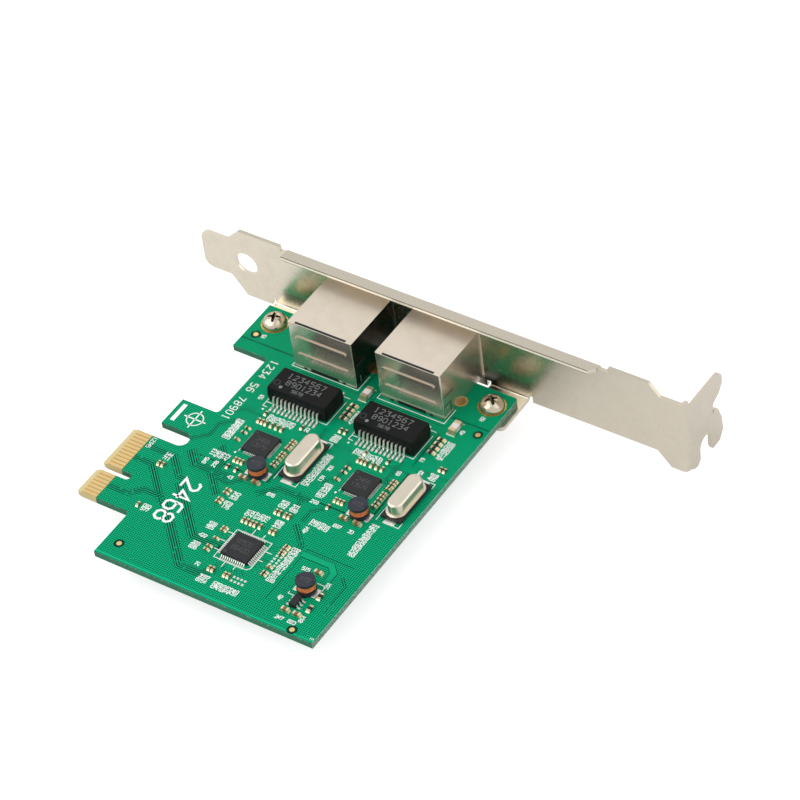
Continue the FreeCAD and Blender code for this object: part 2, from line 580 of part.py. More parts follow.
def make_bracket():
    """One folded sheet. Local origin: tip of the tongue, inner face, solder-side edge."""
    body = new_body("bracket", x="-bracket_tip", y="face_y", z="-board_thickness / 2 - sheet_metal")
    width = "bracket_width"
    high = "bracket_width - tongue_drop"
    low = "bracket_width - tongue_drop - tongue_width"
    body_start = "tongue_run + tongue_taper"
    notch = "bracket_width - relief_depth"
    bend = "(bend_inner + sheet_metal)"
    upper_step = "bracket_length - tail_upper"
    lower_step = "bracket_length - tail_lower"
    lip_stop = "bracket_length - lip_end"
    tail_top = f"{width} - tail_drop"
    lug_places = ["bracket_tip + screw_left", "bracket_tip + screw_left + screw_spacing"]

    for middle in lug_places:
        profile = new_sketch(body, "YZ_Plane", lift=f"{middle} - lug_width / 2")
        polygon(profile, [
            ("-lug_length", "0"), ("sheet_metal", "0"), ("sheet_metal", "lug_relief + 1"),
            ("0", "lug_relief + 1"), ("0", "sheet_metal"), ("-lug_length", "sheet_metal")])
        lug = pad(body, profile, "lug_width")
    lug = fillet(body, lug, LENGTHWISE, [("0", "sheet_metal", "0")], bend)
    lug = fillet(body, lug, LENGTHWISE, [("0", "0", "sheet_metal")], "bend_inner")
    ends = [(f"{middle} {side} lug_width / 2", "-lug_length", "0") for middle in lug_places for side in "-+"]
    lug = fillet(body, lug, UPRIGHT, ends, "lug_radius")

    profile = new_sketch(body, "YZ_Plane", lift="lip_start")
    polygon(profile, [
        ("-lip_depth", width), ("sheet_metal", width), ("sheet_metal", f"{width} - {bend} - 1"),
        ("0", f"{width} - {bend} - 1"), ("0", f"{width} - sheet_metal"),
        ("-lip_depth", f"{width} - sheet_metal")])
    lip = pad(body, profile, f"{lip_stop} - lip_start")
    lip = chamfer(body, lip, UPRIGHT, [(lip_stop, "-lip_depth", "0")], "lip_chamfer")
    lip = fillet(body, lip, LENGTHWISE, [("0", "0", f"{width} - sheet_metal")], "bend_inner")
    lip = fillet(body, lip, LENGTHWISE, [("0", "sheet_metal", width)], bend)

    underside = []
    for middle in lug_places:
        left = f"{middle} - lug_width / 2 - relief_width / 2"
        right = f"{middle} + lug_width / 2 + relief_width / 2"
        underside += [(left, "0"), (left, "lug_relief"), (right, "lug_relief"), (right, "0")]
    face = new_sketch(body, "XZ_Plane")
    polygon(face, [("0", low), ("tongue_run", low), (body_start, "0")] + underside + [
        (lower_step, "0"),
        (f"{lower_step} + tail_lower_run", "-tail_step"), ("bracket_length", "-tail_step"),
        ("bracket_length", tail_top), (f"{upper_step} + tail_upper_run", tail_top), (upper_step, width),
        (f"{lip_stop} + relief_width", width), (f"{lip_stop} + relief_width", notch), (lip_stop, notch),
        (lip_stop, f"{width} - {bend} - 0.5"), ("lip_start", f"{width} - {bend} - 0.5"),
        ("lip_start", notch),
        ("lip_start - relief_width", notch), ("lip_start - relief_width", width),
        (body_start, width), ("tongue_run", high), ("0", high)])
    plate = pad(body, face, "sheet_metal", reverse=True)
    plate = fillet(body, plate, CROSSWISE, [("0", "0", low), ("0", "0", high)], "tongue_radius")

    corner = new_sketch(body, "YZ_Plane", lift="bracket_length - sheet_metal")
    rectangle(corner, "0", f"{bend} + 0.5", "-tail_step", tail_top)
    plate = pad(body, corner, "sheet_metal")
    plate = fillet(body, plate, UPRIGHT, [("bracket_length", "0", "0")], bend)
    plate = fillet(body, plate, UPRIGHT, [("bracket_length - sheet_metal", "sheet_metal", "0")], "bend_inner")

    tab = new_sketch(body, "YZ_Plane", lift="bracket_length - sheet_metal")
    foot = "-tail_step - tab_foot"
    hook = "-tail_step - hook_foot"
    near = "tab_slot_y - tab_slot_width / 2"
    far = "tab_slot_y + tab_slot_width / 2"
    leaf = f"{tail_top} - tab_fall"
    waist = "hook_depth - tab_waist"
    polygon(tab, [
        (bend, "-tail_step"), (f"{near} - 2.4", f"{foot} + 0.2"), (f"{near} - 1.1", foot),
        (near, f"{foot} + 0.9"), (far, f"{hook} + 1.2"), (f"{far} + 0.6", hook),
        ("hook_depth - 1.6", hook), ("hook_depth", f"{hook} + 2"), ("hook_depth - 0.3", "0.4"),
        ("hook_depth - 1.6", "3.8"), ("hook_depth - 2.5", "4.7"), (f"{waist} + 0.7", "4.7"),
        (waist, "3.9"), (f"{waist} + 0.3", "6.6"), ("tab_depth - 1.4", "7.8"),
        ("tab_depth", "9.6"), ("tab_depth", f"{leaf} - 0.3"), ("3", leaf), (bend, f"{tail_top} - 0.6")])
    plate = pad(body, tab, "sheet_metal")
    plate = fillet(body, plate, LENGTHWISE, [("0", "tab_depth", f"{leaf} - 0.3")], "tab_corner")
    slot = new_sketch(body, "YZ_Plane", lift="bracket_length")
    centre = f"{foot} + tab_slot_rise"
    rectangle(slot, near, far, f"{hook} - 1", centre)
    pocket(body, slot, "4 * sheet_metal")
    slot_end = new_sketch(body, "YZ_Plane", lift="bracket_length")
    circle(slot_end, "tab_slot_y", centre, "tab_slot_width")
    pocket(body, slot_end, "4 * sheet_metal")

    tapped = new_sketch(body, "XY_Plane")
    for x in lug_places:
        round_outline(tapped, x, "screw_y - face_y", "screw_shank + 2 * screw_fit", COARSE)
    pocket(body, tapped, "4 * sheet_metal")

    openings = new_sketch(body, "XZ_Plane")
    floor = "board_thickness + sheet_metal"
    for number in (1, 2):
        middle = f"bracket_tip + jack_{number}_x"
        rectangle(openings, f"{middle} - jack_width / 2 - port_gap", f"{middle} + jack_width / 2 + port_gap",
                  f"{floor} - port_gap", f"{floor} + jack_height + port_gap")
    pocket(body, openings, "4 * sheet_metal")
    hole = new_sketch(body, "XZ_Plane")
    circle(hole, "tongue_hole_x", f"{width} - tongue_hole_drop", "tongue_hole")
    pocket(body, hole, "4 * sheet_metal")


def make_screws():
    """Pan-head screws with a cross recess. Local origin: under the first head."""
    body = new_body("bracket_screws", x="screw_left", y="screw_y", z=PLATED_TOP)
    profile = new_sketch(body, "XZ_Plane")
    polygon(profile, [
        ("0", "-screw_length"), ("screw_shank / 2", "-screw_length"), ("screw_shank / 2", "0"),
        ("screw_head / 2", "0"), ("screw_head / 2", "0.5 * screw_head_height"),
        ("0.34 * screw_head", "screw_head_height"), ("0", "screw_head_height")])
    turned = revolve(body, profile)
    recess = new_sketch(body, "XY_Plane", lift="screw_head_height")
    arm = "recess_span / 2"
    thin = "recess_width / 2"
    polygon(recess, [
        (arm, f"-{thin}"), (arm, thin), (thin, thin), (thin, arm), (f"-{thin}", arm), (f"-{thin}", thin),
        (f"-{arm}", thin), (f"-{arm}", f"-{thin}"), (f"-{thin}", f"-{thin}"), (f"-{thin}", f"-{arm}"),
        (thin, f"-{arm}"), (thin, f"-{thin}")])
    cut = pocket(body, recess, "recess_depth", side="One side")
    repeat(body, [turned, cut], profile, "H_Axis", "screw_spacing", "2")


# Jacks

# Corners of a rib's rounded end, in rib heights from the middle of the end
RIB_END = [(0, -0.5), (0.35, -0.35), (0.5, 0), (0.35, 0.35), (0, 0.5)]


def make_jack_shell(number):
    """Folded shield, open at the front and towards the board. Local origin: rear face, on its rings."""
    rear = f"jack_{number}_rear"
    body = new_body(f"jack_{number}_shell", x=f"jack_{number}_x", y=rear, z=PLATED_TOP)
    depth = f"face_y + sheet_metal + jack_proud - {rear}"
    plan = new_sketch(body, "XY_Plane")
    rectangle(plan, "-jack_width / 2", "jack_width / 2", "0", depth)
    block = pad(body, plan, "jack_height")
    block = fillet(body, block, UPRIGHT, [
        ("-jack_width / 2", "0", "0"), ("jack_width / 2", "0", "0")], "shield_radius")
    doc.recompute()
    open_faces = []
    for index, face in enumerate(block.Shape.Faces, start=1):
        middle = face.CenterOfMass
        if abs(middle.z) < 0.01 or abs(middle.y - value(depth)) < 0.01:
            open_faces.append(f"Face{index}")
    hollow = body.newObject("PartDesign::Thickness", body.Name + "_hollow")
    hollow.Base = (block, open_faces)
    hollow.Reversed = True
    hollow.setExpression("Value", cells("shield"))

    ribs = new_sketch(body, "XZ_Plane")
    for height in ("rib_low", "rib_high"):
        end = "jack_width / 2 - rib_margin"
        corners = [(f"{end} - rib_height / 2 + rib_height * {across}", f"{height} + rib_height * {up}")
                   for across, up in RIB_END]
        corners += [(f"-({x})", f"{height} - rib_height * {up}")
                    for (x, y), (across, up) in zip(corners, RIB_END)]
        polygon(ribs, corners)
    pad(body, ribs, "rib_proud")

    seam = new_sketch(body, "XY_Plane", lift="jack_height")
    rectangle(seam, "-jack_width / 2 + seam_margin", "jack_width / 2 - seam_margin",
              "seam_inset", "seam_inset + seam_width")
    pocket(body, seam, "4 * shield")
    slit = new_sketch(body, "YZ_Plane")
    rectangle(slit, "2 * shield_radius", "slit_length", "slit_z - slit_width / 2", "slit_z + slit_width / 2")
    pocket(body, slit, "2 * jack_width")

    tails = new_sketch(body, "XY_Plane")
    for side in ("-", ""):
        outer = f"{side}jack_width / 2"
        inner = f"{side}(jack_width / 2 - shield)"
        left, right = (outer, inner) if side else (inner, outer)
        rectangle(tails, left, right, f"shield_tail_y - {rear} - shield_tail_width / 2",
                  f"shield_tail_y - {rear} + shield_tail_width / 2")
    pad(body, tails, "board_thickness + tail_below", reverse=True)


def make_jack_housing(number):
    """Moulded insert with the plug opening and two locating pegs."""
    rear = f"jack_{number}_rear"
    body = new_body(f"jack_{number}_housing", x=f"jack_{number}_x", y=rear, z=PLATED_TOP)
    wall = "(shield + housing_fit)"
    depth = f"face_y + sheet_metal + jack_proud - housing_set_back - {rear}"
    plan = new_sketch(body, "XY_Plane")
    rectangle(plan, f"-jack_width / 2 + {wall}", f"jack_width / 2 - {wall}", wall, depth)
    pad(body, plan, f"jack_height - {wall}")
    pegs = new_sketch(body, "XY_Plane")
    for side in (-0.5, 0.5):
        round_outline(pegs, f"peg_spacing * {side}", "peg_y", "peg_diameter", COARSE)
    pad(body, pegs, "board_thickness + 0.5", reverse=True)

    opening = new_sketch(body, "XZ_Plane", lift=f"-({depth})")
    step = "plug_low - latch_drop"
    slot = "plug_low - latch_drop - latch_slot_drop"
    polygon(opening, [
        ("-plug_width / 2", "plug_low"), ("-latch_width / 2", "plug_low"), ("-latch_width / 2", step),
        ("-latch_slot / 2", step), ("-latch_slot / 2", slot), ("latch_slot / 2", slot),
        ("latch_slot / 2", step), ("latch_width / 2", step), ("latch_width / 2", "plug_low"),
        ("plug_width / 2", "plug_low"), ("plug_width / 2", "plug_high"), ("-plug_width / 2", "plug_high")])
    pocket(body, opening, "2 * plug_depth")
    chamber = new_sketch(body, "XZ_Plane")
    rectangle(chamber, "-chamber_width / 2", "chamber_width / 2", "-1", "plug_high + comb_height")
    pocket(body, chamber, "2 * chamber_depth")
    comb = new_sketch(body, "XZ_Plane")
    rectangle(comb, "-comb_width / 2", "comb_width / 2", "plug_high - 0.01", "plug_high + comb_height")
    pocket(body, comb, "2 * comb_length")
    lights = new_sketch(body, "XZ_Plane", lift=f"-({depth})")
    for side in ("-", ""):
        middle = f"{side}(jack_width / 2 - light_inset)"
        rectangle(lights, f"{middle} - light_width / 2", f"{middle} + light_width / 2",
                  "light_z", "light_z + light_height")
    pocket(body, lights, "2 * light_length")


def make_jack_contacts(number):
    """Eight formed wires: tail through the board, up the rear chamber, over the plug and down into it."""
    rear = value(f"jack_{number}_rear")
    roof = value("plug_high + comb_height / 2")
    reach = value("contact_reach")
    dip = value("contact_dip")
    solids = []
    for pin in range(8):
        tail = value(f"contact_row + contact_row_gap * {pin % 2}")
        wire = ribbon([(tail, -value("board_thickness + tail_below")), (tail, roof), (reach, roof),
                       (reach - 1.3, roof - dip), (reach - 2.6, roof - dip - 0.6)],
                      value("contact_stock"), value("contact_width"))
        x = value(f"jack_{number}_x + contact_pitch * {pin - 3.5}")
        solids.append(moved(wire, x, rear, value(PLATED_TOP)))
    loose_group(f"jack_{number}_contacts", solids)


def make_jack_lights(number):
    """Two clear light pipes that end beside the latch."""
    rear = f"jack_{number}_rear"
    front = f"face_y + sheet_metal + jack_proud - housing_set_back - {rear}"
    body = new_body(f"jack_{number}_lights", x=f"jack_{number}_x", y=rear, z=PLATED_TOP)
    bars = new_sketch(body, "XZ_Plane", lift=f"-({front})")
    for side in ("-", ""):
        middle = f"{side}(jack_width / 2 - light_inset)"
        rectangle(bars, f"{middle} - light_width / 2", f"{middle} + light_width / 2",
                  "light_z", "light_z + light_height")
    pad(body, bars, "light_length")


# Moulded parts with gull-wing leads

def gull_row(count, pitch, half_body, span, exit_z, stock, width, fine=False):
    """One row of gull-wing leads in front of a body, centred on the local origin. Fine leads
    slope straight down from the body."""
    knee = half_body + 0.2 * (span / 2 - half_body)
    ankle = half_body + 0.42 * (span / 2 - half_body)
    path = [(half_body, exit_z), (knee, exit_z), (ankle, stock / 2), (span / 2, stock / 2)]
    if fine:
        fall = exit_z - stock / 2
        lean = fall / math.hypot(fall, ankle - half_body)
        path[:2] = [(half_body + lean * stock / 2, exit_z)]
    lead = ribbon(path, stock, width)
    return [moved(lead, (number - (count - 1) / 2) * pitch, 0, 0) for number in range(count)]


def make_moulding(label, x, y, length, width, lift, height, parting):
    """A moulded body whose walls draw in above and below the parting line."""
    body = new_body(label, x=x, y=y, z=TOP)
    for reach, reverse in ((f"{height} - {parting}", False), (f"{parting} - {lift}", True)):
        sketch = new_sketch(body, "XY_Plane", lift=parting)
        rectangle(sketch, f"-{length} / 2", f"{length} / 2", f"-{width} / 2", f"{width} / 2")
        pad(body, sketch, reach, reverse=reverse, draft="-mould_draft")
    return body


def make_transformer(number):
    x = f"transformer_{number}_x"
    make_moulding(f"transformer_{number}_body", x, "transformer_y", "transformer_length",
                  "transformer_width", "transformer_lift", "transformer_height", "transformer_lead_z")
    row = gull_row(round(value("transformer_pins")), value("transformer_pitch"),
                   value("transformer_width") / 2, value("transformer_span"),
                   value("transformer_lead_z"), value("lead_stock"), value("lead_width"))
    group = Part.makeCompound(row)
    centre = (value(x), value("transformer_y"), value(TOP))
    solids = [solid for turn in (0, 180) for solid in moved(group, *centre, turn).Solids]
    loose_group(f"transformer_{number}_leads", solids)


def make_switch():
    make_moulding("switch_chip", "switch_x", "-switch_y", "switch_side", "switch_side",
                  "switch_lift", "switch_height", "switch_height / 2")
    row = gull_row(round(value("switch_pins")), value("switch_pitch"), value("switch_side") / 2,
                   value("switch_span"), value("switch_height") / 2, value("fine_lead_stock"),
                   value("fine_lead_width"), fine=True)
    group = Part.makeCompound(row)
    centre = (value("switch_x"), -value("switch_y"), value(TOP))
    solids = [solid for turn in range(0, 360, 90) for solid in moved(group, *centre, turn).Solids]
    loose_group("switch_leads", solids)


def make_regulator():
    make_moulding("regulator", "regulator_x", "-regulator_y", "regulator_width", "regulator_length",
                  "switch_lift", "regulator_height", "regulator_height / 2")
    row = gull_row(3, value("regulator_pitch"), value("regulator_width") / 2, value("regulator_span"),
                   value("regulator_height") / 2, value("fine_lead_stock"), value("regulator_lead_width"))
    group = Part.makeCompound(row)
    centre = (value("regulator_x"), -value("regulator_y"), value(TOP))
    solids = [solid for turn in (90, 270) for solid in moved(group, *centre, turn).Solids]
    loose_group("regulator_leads", solids)


def make_controller(number):
    body = new_body(f"controller_{number}", x=f"controller_{number}_x", y="controller_y", z=TOP)
    plan = new_sketch(body, "XY_Plane")
    half = "controller_side / 2"
    rectangle(plan, f"-{half}", half, f"-{half}", half)
    pad(body, plan, "controller_height")


# Crystals and inductors

def make_crystal(number):
    place = dict(x=f"crystal_{number}_x", y="crystal_y", z=TOP)
    terminals = new_body(f"crystal_{number}_terminals", **place)
    strips = new_sketch(terminals, "XY_Plane")
    for near, far in (("crystal_terminal_reach - crystal_terminal_length", "crystal_terminal_reach"),
                      ("-crystal_terminal_reach", "-crystal_terminal_reach + crystal_terminal_length")):
        rectangle(strips, "-crystal_terminal_width / 2", "crystal_terminal_width / 2", near, far)
    pad(terminals, strips, "terminal_stock")

    base = new_body(f"crystal_{number}_base", **place)
    plan = new_sketch(base, "XY_Plane", lift="terminal_stock")
    rectangle(plan, "-crystal_base_width / 2", "crystal_base_width / 2",
              "-crystal_base_length / 2", "crystal_base_length / 2")
    pad(base, plan, "crystal_base_height")

    can = new_body(f"crystal_{number}_can", **place)
    seat = "(terminal_stock + crystal_base_height)"
    flange = new_sketch(can, "XY_Plane", lift=seat)
    stadium(flange, "crystal_flange_length", "crystal_flange_width", upright=True)
    pad(can, flange, "crystal_flange_stock")
    drawn = new_sketch(can, "XY_Plane", lift=seat)
    stadium(drawn, "crystal_can_length", "crystal_can_width", upright=True)
    shape = pad(can, drawn, f"crystal_height - {seat}")
    doc.recompute()
    rim = []
    for index, edge in enumerate(shape.Shape.Edges, start=1):
        if abs(edge.BoundBox.ZMin - value("crystal_height")) < 0.01:
            rim.append(f"Edge{index}")
    broken = can.newObject("PartDesign::Chamfer", can.Name + "_rim")
    broken.Base = (shape, rim)
    broken.setExpression("Size", cells("crystal_can_edge"))


def make_inductor(number, x, y):
    place = dict(x=x, y=y, z=TOP)
    low = "terminal_stock"
    core = new_body(f"inductor_{number}_core", **place)
    profile = new_sketch(core, "XZ_Plane")
    rim = "drum_diameter / 2"
    floor = f"{low} + drum_flange"
    roof = "drum_height - drum_flange"
    polygon(profile, [
        ("0", low), (rim, low), (rim, floor), ("drum_post / 2", floor), ("drum_post / 2", roof),
        (rim, roof), (rim, "drum_height"), ("0", "drum_height")])
    revolve(core, profile)

    coil = new_body(f"inductor_{number}_coil", **place)
    winding = new_sketch(coil, "XY_Plane", lift=floor)
    round_outline(winding, "0", "0", "coil_diameter", COARSE)
    round_outline(winding, "0", "0", "drum_post", COARSE)
    pad(coil, winding, f"{roof} - ({floor})")

    terminals = new_body(f"inductor_{number}_terminals", **place)
    strips = new_sketch(terminals, "XY_Plane")
    reach = "inductor_terminal_reach"
    for near, far in ((f"{reach} - inductor_terminal_length", reach),
                      (f"-{reach}", f"-{reach} + inductor_terminal_length")):
        rectangle(strips, near, far, "-inductor_terminal_width / 2", "inductor_terminal_width / 2")
    pad(terminals, strips, low)


# Chip parts, lying on the board. Each place is x, y and the turn of the long side from X.

def row_of(x, ys, turn=0):
    """Chip places in a column."""
    return [(x, y, turn) for y in ys]


def line_of(xs, y, turn=90):
    """Chip places in a line along the bracket's direction."""
    return [(x, y, turn) for x in xs]


def both_ports(places):
    """The same places at both controllers."""
    step = value("(controller_2_x - controller_1_x) / placement_grid")
    return places + [(x + step, y, turn) for x, y, turn in places]


SMALL_CAPACITORS = (
    both_ports(line_of((22.5, 23.4, 24.3, 25.7, 27.0, 28.3), 26.05) + line_of((24.6, 25.5, 26.4), 14.3)
               + row_of(32.55, (24.2, 23.35, 21.75, 20.3, 19.45, 18.5, 16.4)) + row_of(21.5, (19.3,)))
    + line_of((11.0, 12.0), 6.1) + line_of((14.1,), -5.6)
    + line_of((36.0, 37.0, 38.05, 38.95, 40.2, 42.8, 43.7), 0.9) + line_of((40.65, 41.6, 42.95, 43.9), 5.95)
    + row_of(33.95, (-2.8, -3.6, -6.05, -8.45, -9.55)) + line_of((37.55, 38.4, 41.35, 42.2), -13.4)
    + row_of(48.2, (-1.9, -2.8, -7.6)) + row_of(28.35, (6.4, 5.4, 3.5, 2.6)))
MEDIUM_CAPACITORS = (
    both_ports([(28.95, 10.65, 0), (32.2, 10.65, 0)]) + [(57.6, -15.7, 0), (60.4, -15.7, 0), (57.9, -4.3, 0)])
SMALL_RESISTORS = (
    both_ports([(24.3, 12.0, 90), (21.6, 23.1, 0), (21.6, 21.7, 0), (22.6, 28.5, 90)]
               + row_of(32.55, (22.5, 17.4)))
    + [(26.4, 12.0, 90), (39.4, 31.6, 90), (40.6, 31.6, 90), (64.0, 31.6, 90), (65.0, 31.6, 90),
       (48.2, -1.2, 0), (48.2, -3.5, 0), (48.2, -9.1, 0), (48.2, -9.9, 0), (31.7, 28.5, 90),
       (53.2, 28.5, 90)])
MEDIUM_RESISTORS = (
    row_of(37.85, (38.8, 37.45, 36.1, 34.75)) + row_of(59.55, (38.8, 37.45, 36.1, 34.75))
    + [(61.8, -9.4, 90), (61.8, -13.1, 90)])
SURGE_CAPACITORS = [(38.5, 42.9, 90), (60.4, 42.9, 90)]


def chip_places(places):
    """Centres on the board and turns of chip parts whose places are counted in grid steps."""
    grid = value("placement_grid")
    return [(x * grid, y * grid, value(TOP), turn) for x, y, turn in places]


def chip_blocks(places, length, width, height):
    """Chip parts of one size as single blocks, their tinned ends included."""
    size = [value(name) for name in (length, width, height)]
    block = Part.makeBox(*size, V(-size[0] / 2, -size[1] / 2, 0))
    return [moved(block, *place) for place in chip_places(places)]


def chip_solids(places, length, width, height):
    """Bodies and tinned ends of chip parts of one size."""
    size = [value(name) for name in (length, width, height)]
    end = size[0] * value("end_share")
    middle = Part.makeBox(size[0] - 2 * end, size[1], size[2], V(end - size[0] / 2, -size[1] / 2, 0))
    tips = [Part.makeBox(end, size[1], size[2], V(x, -size[1] / 2, 0))
            for x in (-size[0] / 2, size[0] / 2 - end)]
    bodies = [moved(middle, *place) for place in chip_places(places)]
    ends = [moved(tip, *place) for place in chip_places(places) for tip in tips]
    return bodies, ends


def make_chips():
    small = chip_blocks(SMALL_CAPACITORS, "small_length", "small_width", "small_height")
    medium = chip_solids(MEDIUM_CAPACITORS, "medium_length", "medium_width", "medium_height")
    loose_group("capacitor_bodies", small + medium[0])
    loose_group("capacitor_ends", medium[1])
    small = chip_blocks(SMALL_RESISTORS, "small_length", "small_width", "resistor_height")
    medium = chip_solids(MEDIUM_RESISTORS, "medium_length", "medium_width", "resistor_height")
    loose_group("resistor_bodies", small + medium[0])
    loose_group("resistor_ends", medium[1])
    surge = chip_solids(SURGE_CAPACITORS, "surge_length", "surge_width", "surge_height")
    loose_group("surge_capacitor_bodies", surge[0])
    loose_group("surge_capacitor_ends", surge[1])


# Build

make_board()
make_edge_contacts()
make_plated_rings()
make_bracket()
make_screws()
for port in (1, 2):
    make_jack_shell(port)
    make_jack_housing(port)
    make_jack_contacts(port)
    make_jack_lights(port)
    make_transformer(port)
    make_controller(port)
    make_crystal(port)
make_switch()
make_regulator()
make_inductor(1, "inductor_1_x", "inductor_pair_y")
make_inductor(2, "inductor_2_x", "inductor_pair_y")
make_inductor(3, "inductor_3_x", "-inductor_3_y")
make_chips()
doc.recompute()

for item in doc.Objects:
    if "Invalid" in item.State or "Error" in item.State:
        raise RuntimeError(f"{item.Label} did not build: {item.State}")
for piece in pieces:
    if piece.Shape.isNull() or not piece.Shape.isValid():
        raise RuntimeError(f"{piece.Label} has no valid shape")
for piece in pieces:
    piece.Shape.exportStep(f"parts/{piece.Label}.step")
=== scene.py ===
import math
import random

import bpy
from mathutils import Matrix, Vector


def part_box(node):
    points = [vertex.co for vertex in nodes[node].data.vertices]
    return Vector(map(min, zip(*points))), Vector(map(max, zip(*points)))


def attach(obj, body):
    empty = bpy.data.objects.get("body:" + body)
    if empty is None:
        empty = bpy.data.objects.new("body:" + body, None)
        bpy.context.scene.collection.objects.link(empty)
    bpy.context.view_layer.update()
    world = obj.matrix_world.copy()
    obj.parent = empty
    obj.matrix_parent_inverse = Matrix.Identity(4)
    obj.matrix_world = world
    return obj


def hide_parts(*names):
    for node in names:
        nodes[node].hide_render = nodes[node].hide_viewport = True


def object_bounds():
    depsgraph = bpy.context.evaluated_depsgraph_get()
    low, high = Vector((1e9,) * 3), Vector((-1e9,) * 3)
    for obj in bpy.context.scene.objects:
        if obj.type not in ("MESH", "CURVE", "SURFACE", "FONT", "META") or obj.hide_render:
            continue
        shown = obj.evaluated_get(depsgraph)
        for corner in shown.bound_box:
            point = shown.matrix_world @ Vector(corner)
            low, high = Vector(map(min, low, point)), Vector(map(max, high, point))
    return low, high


# Looks of a dual-port network interface card. Places are in millimetres in the card's own frame:
# X from the mating edge across the board, Y towards the bracket, Z out of the component side.

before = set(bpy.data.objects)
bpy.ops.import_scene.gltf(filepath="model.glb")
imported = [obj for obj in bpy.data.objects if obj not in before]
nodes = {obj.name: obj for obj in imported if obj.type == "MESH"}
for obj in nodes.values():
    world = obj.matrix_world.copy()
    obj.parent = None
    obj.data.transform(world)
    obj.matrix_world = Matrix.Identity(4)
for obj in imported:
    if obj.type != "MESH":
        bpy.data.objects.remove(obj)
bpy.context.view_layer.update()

MM = 0.001
BOARD_LOW, BOARD_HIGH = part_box("circuit_board")
TOP = BOARD_HIGH.z / MM
BOTTOM = BOARD_LOW.z / MM
PLATED = TOP + 0.05
LIP_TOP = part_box("bracket")[1].z / MM

# Places on the card
LIP_EDGE = 56.5
INNER_FACE = 59.0
SHADED_CORNERS = (18.4, 59.0)
SHADED_WALL = 35.55
SCREWS = (8.6, 63.5)
SCREW_Y = 52.2
JACKS = ((27.55, 43.5), (49.05, 44.0))
JACK_HALF = 8.0
SHIELD_TAILS = (19.675, 35.425, 41.175, 56.925)
TAIL_Y = 50.4
TRANSFORMERS = (28.15, 49.8)
TRANSFORMER_TOP = TOP + 4.1
CONTROLLERS = (27.05, 52.1)
CONTROLLER_Y = 20.2
CONTROLLER_TOP = TOP + 0.85
SWITCH_X, SWITCH_Y = 40.6, -6.1
SWITCH_TOP = TOP + 1.05
DRUMS = ((31.05, 13.25), (56.2, 13.25), (58.35, -9.1))
DRUM_TOP = TOP + 3.2
LEDGES_UNDER = 13.0
TABS_END = 5.0
TARGET_PLACE = (10.1, 20.2)


# Colours

def colour(red, green, blue):
    """An sRGB colour of 0 to 255 as linear light."""
    linear = []
    for part in (red, green, blue):
        part = part / 255
        linear.append(part / 12.92 if part <= 0.04045 else ((part + 0.055) / 1.055) ** 2.4)
    return (*linear, 1.0)


def dimmed(base, share):
    """A share of a colour's light."""
    return tuple(part * share for part in base[:3]) + (1.0,)


MASK_GREEN = colour(0, 178, 124)
MASK_DEEP = colour(0, 44, 30)
MASK_LIGHT = colour(8, 160, 114)
MASK_SHADE = colour(0, 54, 38)
MASK_RIM = colour(24, 196, 146)
MASK_BORDER = colour(0, 146, 102)
LAMINATE = colour(70, 134, 106)
LAMINATE_SHADE = colour(40, 98, 74)
TORN_GLASS = colour(182, 200, 190)
BARE_TAB = colour(196, 172, 112)
BARE_BEVEL = colour(214, 198, 148)
GOLD = colour(226, 196, 138)
NICKEL = colour(214, 205, 188)
BRACKET_NICKEL = colour(222, 213, 196)
# Painted highlight of the lip's sheared edge
SHEARED_EDGE_HIGHLIGHT = colour(255, 246, 228)
# Dark lines on the sheared edge's rims: burrs and painted shade
BURR_SHADE = colour(92, 84, 58)
CORNER_SHADE = colour(26, 28, 20)
SHIELD_TIN = colour(216, 205, 190)
SOLDER = colour(224, 224, 218)
CHIP_TIN = colour(226, 212, 176)
BRONZE = colour(172, 142, 92)
INK = colour(250, 252, 250)
COMPOUND = colour(30, 31, 33)
POTTING = colour(9, 10, 11)
MARKING = colour(128, 131, 132)
COPPER = colour(244, 150, 84)
COPPER_SHADE = colour(176, 84, 40)
FERRITE = colour(40, 43, 52)


# Material helpers

